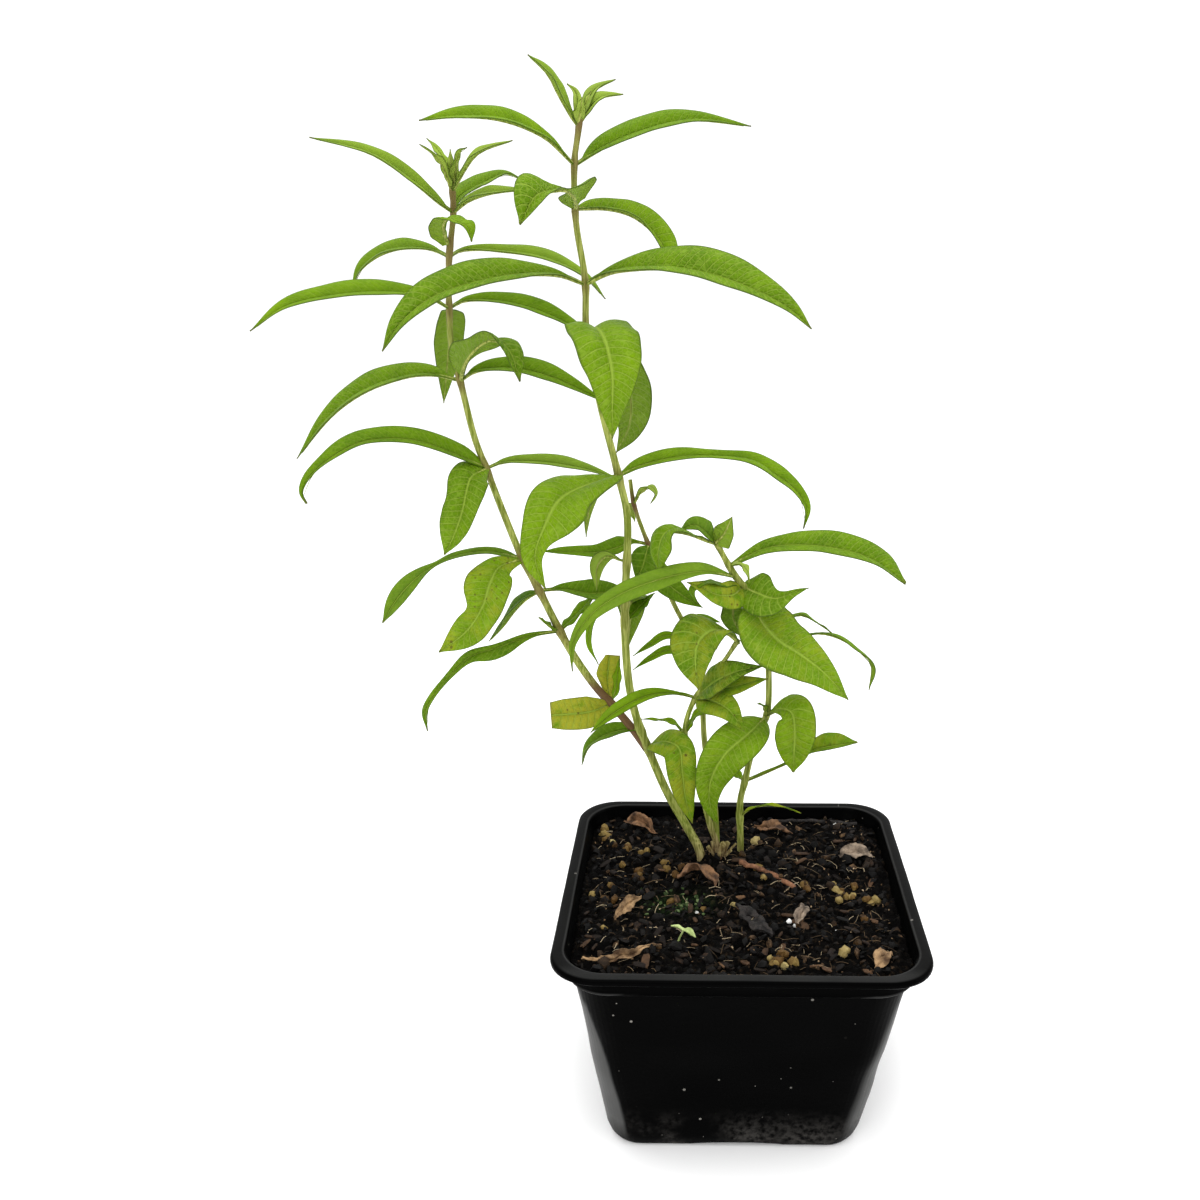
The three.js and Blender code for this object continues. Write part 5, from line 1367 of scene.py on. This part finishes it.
# %% [markdown]
# ### Leaf finishes
#
# A fresh verbena leaf is a bright yellow green with a satin sheen. Its midrib is a thin pale line, its side
# veins are fine and close, and the blade lets light through. Old leaves turn yellow in patches between the
# veins and get brown specks. The veins follow the blade, so they are drawn from the grid's own UV map with
# the same slant as the grooves. The underside is paler and duller, with the veins raised.

# %% Fresh leaf finish
BUD_GREEN = (0.42, 0.52, 0.1, 1)
AGED_YELLOW, AGED_BROWN = (0.35, 0.35, 0.025, 1), (0.28, 0.15, 0.025, 1)
MARGIN_SHADE = (0.05, 0.08, 0.012, 1)
SPECK_BROWN, TIP_BROWN = (0.09, 0.04, 0.012, 1), (0.16, 0.12, 0.06, 1)
LIGHT_THROUGH = (0.4, 0.55, 0.008, 1)
LEAF_RELIEF = 0.0005          # depth of the veins' bump, in metres


def leaf_finish(name, light_green, dark_green, vein_colour, rough, groove):
    """A leaf surface. groove is the bump of its veins: sunk on the upper side, raised underneath."""
    finish, shader = new_finish(name)
    uv = add_node(finish, "TexCoord", {}).outputs["UV"]
    spread = add_node(finish, "SeparateXYZ", {"Vector": uv})
    across = sum_of(finish, "ABSOLUTE", sum_of(finish, "MULTIPLY_ADD", spread.outputs["X"], 2.0, -1.0))
    t = spread.outputs["Y"]
    slanted = sum_of(finish, "MULTIPLY_ADD", across, -VEIN_SLANT, t)
    turns = sum_of(finish, "MULTIPLY", slanted, stored(finish, "veins"))
    near_vein = sum_of(finish, "COSINE", sum_of(finish, "MULTIPLY", turns, 2 * math.pi))
    veined = stored(finish, "veined")
    side_vein = sum_of(finish, "MULTIPLY", between(finish, near_vein, 0.72, 1.0), veined)
    midrib = sum_of(finish, "SUBTRACT", 1.0, between(finish, across, 0.03, 0.1))
    margin = between(finish, across, 0.91, 1.0)
    place = object_place(finish)
    cloud = noise_over(finish, place, 150, 5.0, 0.6)
    grain = noise_over(finish, place, 1400, 3.0)
    netting = add_node(finish, "TexVoronoi", {"Vector": place, "Scale": 800.0}, feature="DISTANCE_TO_EDGE")
    net = sum_of(finish, "SUBTRACT", 1.0, between(finish, netting.outputs["Distance"], 0.02, 0.16))
    net = sum_of(finish, "MULTIPLY", net, veined)
    # the green runs from light to dark by each leaf's random tone and its painted shade
    tone_and_shade = sum_of(finish, "MULTIPLY_ADD", cloud, 1.1, sum_of(finish, "MULTIPLY", stored(finish, "tone_and_shade"), 0.8))
    tone_and_shade = sum_of(finish, "SUBTRACT", tone_and_shade, 0.1)
    colour = blended(finish, sum_of(finish, "SUBTRACT", tone_and_shade, 0.34), light_green, dark_green)
    colour = blended(finish, stored(finish, "pale"), colour, BUD_GREEN)
    age = stored(finish, "age")
    blotch = noise_over(finish, place, 210, 3.0)
    yellow = sum_of(finish, "MULTIPLY_ADD", age, 0.3, blotch)
    yellow = sum_of(finish, "MULTIPLY", age, between(finish, yellow, 0.55, 0.8))
    colour = blended(finish, yellow, colour, AGED_YELLOW)
    scorched = sum_of(finish, "MULTIPLY", age, age)
    scorched = sum_of(finish, "MULTIPLY", scorched, between(finish, blotch, 0.68, 0.9))
    colour = blended(finish, scorched, colour, AGED_BROWN)
    spots = 0.0
    for cells, size in ((330.0, 0.15), (640.0, 0.2)):
        cell = add_node(finish, "TexVoronoi", {"Vector": place, "Scale": cells})
        chance = add_node(finish, "SeparateXYZ", {"Vector": cell.outputs["Color"]}).outputs["X"]
        spot = sum_of(finish, "LESS_THAN", cell.outputs["Distance"], size)
        spot = sum_of(finish, "MULTIPLY", spot, sum_of(finish, "GREATER_THAN", chance, 0.8))
        spots = sum_of(finish, "MAXIMUM", spot, spots)
    spots = sum_of(finish, "MULTIPLY", spots, between(finish, age, 0.2, 0.6))
    colour = blended(finish, sum_of(finish, "MULTIPLY", net, 0.28), colour, vein_colour)
    colour = blended(finish, sum_of(finish, "MULTIPLY", side_vein, 0.5), colour, vein_colour)
    # painted shade: a dark line along the curled margin
    colour = blended(finish, sum_of(finish, "MULTIPLY", margin, 0.75), colour, MARGIN_SHADE)
    colour = blended(finish, sum_of(finish, "MULTIPLY", midrib, 0.8), colour, vein_colour)
    colour = blended(finish, sum_of(finish, "MULTIPLY", spots, 0.75), colour, SPECK_BROWN)
    tip = between(finish, t, 0.955, 1.0)
    colour = blended(finish, sum_of(finish, "MULTIPLY", tip, 0.55), colour, TIP_BROWN)
    feed(finish, shader, base_color=colour)
    shader.inputs["Roughness"].default_value = rough
    shader.inputs["Specular IOR Level"].default_value = 0.07
    lines = sum_of(finish, "MAXIMUM", side_vein, midrib)
    lines = sum_of(finish, "MAXIMUM", lines, sum_of(finish, "MULTIPLY", net, 0.4))
    relief = sum_of(finish, "MULTIPLY_ADD", lines, groove, sum_of(finish, "MULTIPLY", grain, 0.12))
    set_bump(finish, shader, relief, LEAF_RELIEF)
    through = add_node(finish, "BsdfTranslucent", {"Color": blended(finish, 0.5, colour, LIGHT_THROUGH)})
    both = add_node(finish, "MixShader", {0: 0.3, 1: shader.outputs["BSDF"], 2: through.outputs["BSDF"]})
    finish.node_tree.links.new(both.outputs[0], finish.node_tree.nodes["Material Output"].inputs["Surface"])
    return finish


upper_leaf = leaf_finish("verbena leaf, upper side", (0.2, 0.345, 0.004, 1), (0.05, 0.13, 0.003, 1),
                         (0.33, 0.46, 0.06, 1), 0.42, -0.55)
lower_leaf = leaf_finish("verbena leaf, underside", (0.26, 0.38, 0.03, 1), (0.13, 0.24, 0.015, 1),
                         (0.34, 0.45, 0.1, 1), 0.6, 0.6)
print("leaf finishes:", upper_leaf.name, "and", lower_leaf.name)

# %% [markdown]
# ### Stem finish
#
# Two stored numbers steer the stem's colour: wood at its foot, and a brown blush at its whorls and near its
# top. What has neither is green. A noise that is stretched along the stem draws fine lines between the ribs.

# %% Green, blushing and woody stems
STEM_GREENS = (0.14, 0.185, 0.02, 1), (0.34, 0.38, 0.09, 1)
STEM_BLUSH = (0.12, 0.07, 0.03, 1)
STEM_WOODS = (0.1, 0.065, 0.03, 1), (0.36, 0.28, 0.14, 1)

stem_finish, stem_shader = new_finish("verbena stem")
place = object_place(stem_finish)
stretched = add_node(stem_finish, "Mapping", {"Vector": place, "Scale": (1.0, 1.0, 0.07)}).outputs["Vector"]
streaks = noise_over(stem_finish, stretched, 1500, 4.0)
blotches = noise_over(stem_finish, place, 160)
colour = blended(stem_finish, between(stem_finish, streaks, 0.38, 0.62), *STEM_GREENS)
blush = sum_of(stem_finish, "SUBTRACT", stored(stem_finish, "blush"), 0.25)
blush = sum_of(stem_finish, "MULTIPLY_ADD", blotches, 0.5, blush)
colour = blended(stem_finish, blush, colour, STEM_BLUSH)
woody = blended(stem_finish, between(stem_finish, streaks, 0.35, 0.65), *STEM_WOODS)
colour = blended(stem_finish, stored(stem_finish, "wood"), colour, woody)
feed(stem_finish, stem_shader, base_color=colour)
stem_shader.inputs["Roughness"].default_value = 0.5
stem_shader.inputs["Specular IOR Level"].default_value = 0.06
set_bump(stem_finish, stem_shader, streaks, 0.00025)
print("stem finish:", stem_finish.name)

# %% [markdown]
# ### Growing a stem with its leaves
#
# The stem, its leaf stalks and its blades grow as one thing, so they are joined into one piece. The blades
# are joined first, because Solidify is to thicken them and not the round stems.

# %% Join blades, ribs and stem
RIBS = 0.1                    # height of a stem's ribs, as a share of its radius
NODE_SWELLING = 0.28          # how much thicker the stem is at a whorl
NODE_HALF = 1.6               # and how far above and below it, in millimetres
BLUSH_HALF = 3.5              # how far the brown reaches there
BARE_BLUSH = 0.65             # a piece without whorls counts as this near to one all along


def make_wood(name, points, root, tip, nodes_at=(), blush=(0, 0), wood_until=0.0, brown_until=0.0):
    """A ribbed stem. It swells at the heights nodes_at. blush is its brownness at the foot and the top."""
    way = smooth_route(points)
    shares = np.linspace(0, 1, 200)
    heights = np.interp(shares, way[1], way[0][:, 2])

    def radius_at(share):
        height = np.interp(share, shares, heights)
        swelling = sum(math.exp(-((height - z) / NODE_HALF) ** 2) for z in nodes_at)
        return (root + (tip - root) * share) * (1 + NODE_SWELLING * min(1, swelling))

    stem = bent_tube(name, points, radius_at, ribs=RIBS)
    share = np.empty(len(stem.data.vertices), np.float32)
    stem.data.attributes["share"].data.foreach_get("value", share)
    z = positions(stem)[:, 2]
    near_node = np.full(len(z), BARE_BLUSH)
    if nodes_at:
        near_node = np.sum([np.exp(-((z - at) / BLUSH_HALF) ** 2) for at in nodes_at], axis=0)
    browner = blush[0] + (blush[1] - blush[0]) * share ** 2
    brown_foot = 0.9 * np.clip((brown_until - z) / 6, 0, 1)
    paint(stem, "blush", browner * (0.22 + 1.2 * np.minimum(1, near_node)) + brown_foot)
    paint(stem, "wood", np.clip((wood_until - z) / 14 + 0.5, 0, 1) if wood_until else 0)
    stem.data.materials.append(stem_finish)
    pick(stem)
    bpy.ops.object.shade_smooth()
    return stem


def make_leaves(name, whorls, luck):
    """All blades of these whorls as one thick sheet piece, and their ribs as another."""
    blades, ribs = [], []
    for on, plans in whorls:
        for plan in plans:
            blades.append(shape_blade(on, plan, luck.random()))
            ribs.append(shape_rib(on, plan))
    sheet = join_pieces(name, blades)
    sheet.data.materials.clear()
    for finish in (upper_leaf, lower_leaf):
        sheet.data.materials.append(finish)
    apply_modifier(sheet, "SOLIDIFY", thickness=BLADE_THICK * MM, offset=-1, material_offset=1)
    pick(sheet)
    bpy.ops.object.shade_smooth_by_angle(angle=math.radians(45))
    stalks = join_pieces(name + " ribs", ribs)
    stalks.data.materials.clear()
    stalks.data.materials.append(stem_finish)
    paint(stalks, "blush", 0.05)
    paint(stalks, "wood", 0.0)
    pick(stalks)
    bpy.ops.object.shade_smooth()
    return [sheet, stalks]


def node_heights(whorls):
    """The heights at which the whorls sit."""
    return [on[2] for on, _ in whorls]


luck = random.Random(7)
tall = make_wood("tall", tall_route, 1.25, 0.62, node_heights(tall_whorls), (0.1, 0.6), 67)
tall_plant = join_pieces("tall_stem_grown", [tall, *make_leaves("tall leaves", tall_whorls, luck)])
hand_over(tall_plant, "verbena_green", "tall_stem")
branch = make_wood("branch", branch_route, 1.12, 0.62, node_heights(branch_whorls), (0.45, 0.6), 0, 122)
branch_plant = join_pieces("left_branch_grown", [branch, *make_leaves("branch leaves", branch_whorls, luck)])
hand_over(branch_plant, "verbena_green", "tall_stem")

# %% The middle and right stems
middle = make_wood("middle", middle_route, 0.95, 0.5, node_heights(middle_whorls), (0.5, 0.8))
middle_plant = join_pieces("middle_stem_grown", [middle, *make_leaves("middle leaves", middle_whorls, luck)])
hand_over(middle_plant, "verbena_green", "middle_stem")
right = make_wood("right", right_route, 0.95, 0.7, node_heights(right_whorls), (0.0, 0.15), 62)
right_plant = join_pieces("right_stem_grown", [right, *make_leaves("right leaves", right_whorls, luck)])
hand_over(right_plant, "verbena_green", "right_stem")

# %% The short stem and the stubs of the crown
CROWN_PLACE = (-5.5, 19.5)
STUB_BLUSH = (1.1, 0.6)

crown_route = [(*CROWN_PLACE, SOIL_LEVEL - STEM_SUNK), (*CROWN_PLACE, SOIL_LEVEL + 0.5)]
crown = make_wood("crown", crown_route, 2.2, 1.8, (), (1.2, 1.2), 64)
stub_tips = [
    ((-4, 16, 67.5), 1.1), ((-2.5, 19.5, 66), 0.9), ((-7, 21, 65.5), 1.1), ((-8.5, 17, 66), 0.5),
    ((-1.5, 17, 64.5), 0.45), ((-9, 20, 64), 0.4), ((-5, 14.5, 65), 0.5), ((0, 20.5, 65), 0.4),
]
stubs = [
    make_wood("stub", [(*CROWN_PLACE, SOIL_LEVEL - 2), tip], thick, 0.75 * thick, (), STUB_BLUSH, 66)
    for tip, thick in stub_tips
]
short = make_wood("short", short_route, 0.9, 0.55, node_heights(short_whorls), (0.05, 0.1), 72)
short_leaves = make_leaves("short leaves", short_whorls, luck)
short_plant = join_pieces("short_stem_grown", [short, crown, *stubs, *short_leaves])
hand_over(short_plant, "verbena_green", "short_stem")

# %% [markdown]
# ## What lies on the soil
#
# Dead verbena leaves dry to a curled brown paper, and bits of twig and bark lie among them. They are made
# with the same blade and tube as the living parts, folded harder and crumpled with noise, and lowered until
# they rest on the crumbs.

# %% Dead leaves, twigs and bark
SETTLE = 1.1                  # how far the loose things sink among the crumbs
COARSE_WRINKLE, FINE_WRINKLE = (1.0, 4.0), (0.45, 1.4)   # depth and size, in millimetres


def over(x, y, lift):
    """A point that far above the ground."""
    return np.array([x, y, ground(x, y) + lift - SETTLE])


def crumple(piece, depth, size):
    """Moves the piece's vertices about by noise of that depth and size, in millimetres."""
    places = positions(piece)
    for k, place in enumerate(places):
        places[k] = place + np.array(noise.noise_vector(Vector(place) / size)) * depth
    move_vertices(piece, places)


def fallen_leaf(name, spots, wide, roll, finish, slot="dry_leaf", thick=0.25, fold=0.75):
    """A dead leaf or a flake of bark along these spots on the soil, wrinkled coarsely and finely."""
    on, *others = [over(*spot) for spot in spots]
    plan = leaf([list(point - on) for point in others], wide, roll, fold=fold, age=1.0, limp=0.5)
    blade = shape_blade(on, plan, 0.5)
    crumple(blade, *COARSE_WRINKLE)
    crumple(blade, *FINE_WRINKLE)
    blade.name = blade.data.name = name + "_dried"
    blade.data.materials.clear()
    blade.data.materials.append(finish)
    apply_modifier(blade, "SOLIDIFY", thickness=thick * MM, offset=0)
    bpy.ops.object.shade_smooth_by_angle(angle=math.radians(50))
    hand_over(blade, slot, name)


def papery_finish(name, dark, pale, bump_depth, scale=260, rough=0.75):
    """A dry matt surface, mottled from dark to pale."""
    finish, shader = new_finish(name)
    place = object_place(finish)
    mottle = noise_over(finish, place, scale, 6.0, 0.6)
    feed(finish, shader, base_color=blended(finish, between(finish, mottle, 0.32, 0.68), dark, pale))
    shader.inputs["Roughness"].default_value = rough
    shader.inputs["Specular IOR Level"].default_value = 0.25
    set_bump(finish, shader, noise_over(finish, place, 1300, 5.0), bump_depth)
    return finish


tan_leaf = papery_finish("dry leaf, tan", (0.05, 0.024, 0.01, 1), (0.38, 0.24, 0.12, 1), 0.0004)
brown_leaf = papery_finish("dry leaf, brown", (0.025, 0.012, 0.006, 1), (0.24, 0.125, 0.06, 1), 0.0004)
grey_leaf = papery_finish("dry leaf, grey", (0.035, 0.025, 0.018, 1), (0.34, 0.26, 0.19, 1), 0.0004)
slate_bark = papery_finish("dark bark", (0.003, 0.0026, 0.0024, 1), (0.026, 0.021, 0.019, 1), 0.0006, 500)
red_wood = papery_finish("reddish wood", (0.06, 0.022, 0.01, 1), (0.26, 0.12, 0.06, 1), 0.0003, 600)

# each leaf's name, its spots, its width, its roll along the rib and its finish
dead_leaves = [
    ("dry_leaf_left", [(-35.5, -17, 1.6), (-32, -10, 2.8), (-28.5, -4, 2)], 3.6, [20, 60, 80], tan_leaf),
    ("dry_leaf_middle", [(-18, 6, 1.8), (-12, 7.5, 3), (-8, 4, 2.6), (-6.5, 0, 1.6)],
     5.4, [10, -20, 30], brown_leaf),
    ("dry_leaf_front", [(-42, -36, 1.6), (-36, -37, 2.2), (-30, -35, 2.6), (-21, -30, 1.8)],
     2.4, [-10, 50, 80], tan_leaf),
    ("dry_leaf_corner", [(35, -40, 1.6), (37, -37, 2.8), (40, -34, 2)], 4.2, [50, 20, -20], tan_leaf),
    ("dry_leaf_right", [(32, 19, 1.8), (37, 20, 3), (42, 17, 2)], 5.2, [-10, 30, -20], grey_leaf),
    ("dry_leaf_back", [(7, 38, 1.8), (12, 37, 2.8), (18, 34, 2)], 4.4, [40, 10, -20], brown_leaf),
    ("dry_leaf_back_left", [(-36, 40, 1.8), (-30, 38, 2.8), (-25, 33, 2)], 5, [10, 40, 20], brown_leaf),
    ("dry_curl", [(16.5, -20, 1.8), (18, -14, 2.8), (19, -9, 2)], 3.8, [-40, 30, 60], grey_leaf),
]
for dead_leaf in dead_leaves:
    fallen_leaf(*dead_leaf)
bark_spots = [(0, -10, 2), (4, -17, 2), (9, -24, 2)]
fallen_leaf("bark_chip", bark_spots, 5.5, 0, slate_bark, "dark_bark", thick=0.9, fold=0.1)


def fallen_stick(name, spots, radius, finish, slot):
    """A knobbly twig along these spots on the soil."""
    points = [over(*spot) for spot in spots]
    stick = bent_tube(name + "_dried", points, lambda share: radius * (1 - 0.3 * share), 10, 1.0, 0.08)
    crumple(stick, 0.5, 2.2)
    stick.data.materials.append(finish)
    pick(stick)
    bpy.ops.object.shade_smooth()
    hand_over(stick, slot, name)


fallen_stick("reddish_stick", [(1, 13, 1.8), (9, 8, 2), (17, 0, 1.8)], 0.9, red_wood, "reddish_wood")
fallen_stick("dark_twig", [(11, 42.5, 1.6), (26, 43, 1.8), (40, 41, 1.6)], 0.7, slate_bark, "dark_bark")

# %% [markdown]
# ### The seedling
#
# A very small pale seedling has come up near the front. It is a thin tube with two seed leaves, made with the
# same helpers as the stems and leaves, because it grows in the same way.

# %% The seedling
SPROUT_RADIUS = 0.27

sprout_finish = papery_finish("pale sprout", (0.2, 0.26, 0.07, 1), (0.42, 0.5, 0.2, 1), 0.0001, 300, 0.5)
sprout_head = (-15.5, -29, SOIL_LEVEL + 5)
sprout_route = [(-16.5, -29, SOIL_LEVEL - 4), (-17, -29, SOIL_LEVEL + 1), sprout_head]
sprout = bent_tube("sprout", sprout_route, lambda share: SPROUT_RADIUS, 10, 1.0)
sprout_plans = [
    leaf([[-1.6, 0.5, 0.8], [-3.4, 1, 0.6]], 1.1, limp=0.1),
    leaf([[1.2, -0.5, 0.2], [3.2, -1, -1.6]], 2.3, limp=0.1),
]
seed_leaves = join_pieces("seed leaves", [shape_blade(sprout_head, plan, 0.5) for plan in sprout_plans])
apply_modifier(seed_leaves, "SOLIDIFY", thickness=0.4 * MM, offset=0)
seedling = join_pieces("seedling_grown", [sprout, seed_leaves])
seedling.data.materials.clear()
seedling.data.materials.append(sprout_finish)
pick(seedling)
bpy.ops.object.shade_smooth_by_angle(angle=math.radians(50))
hand_over(seedling, "pale_sprout", "seedling")
bpy.data.objects.remove(flat_blade)
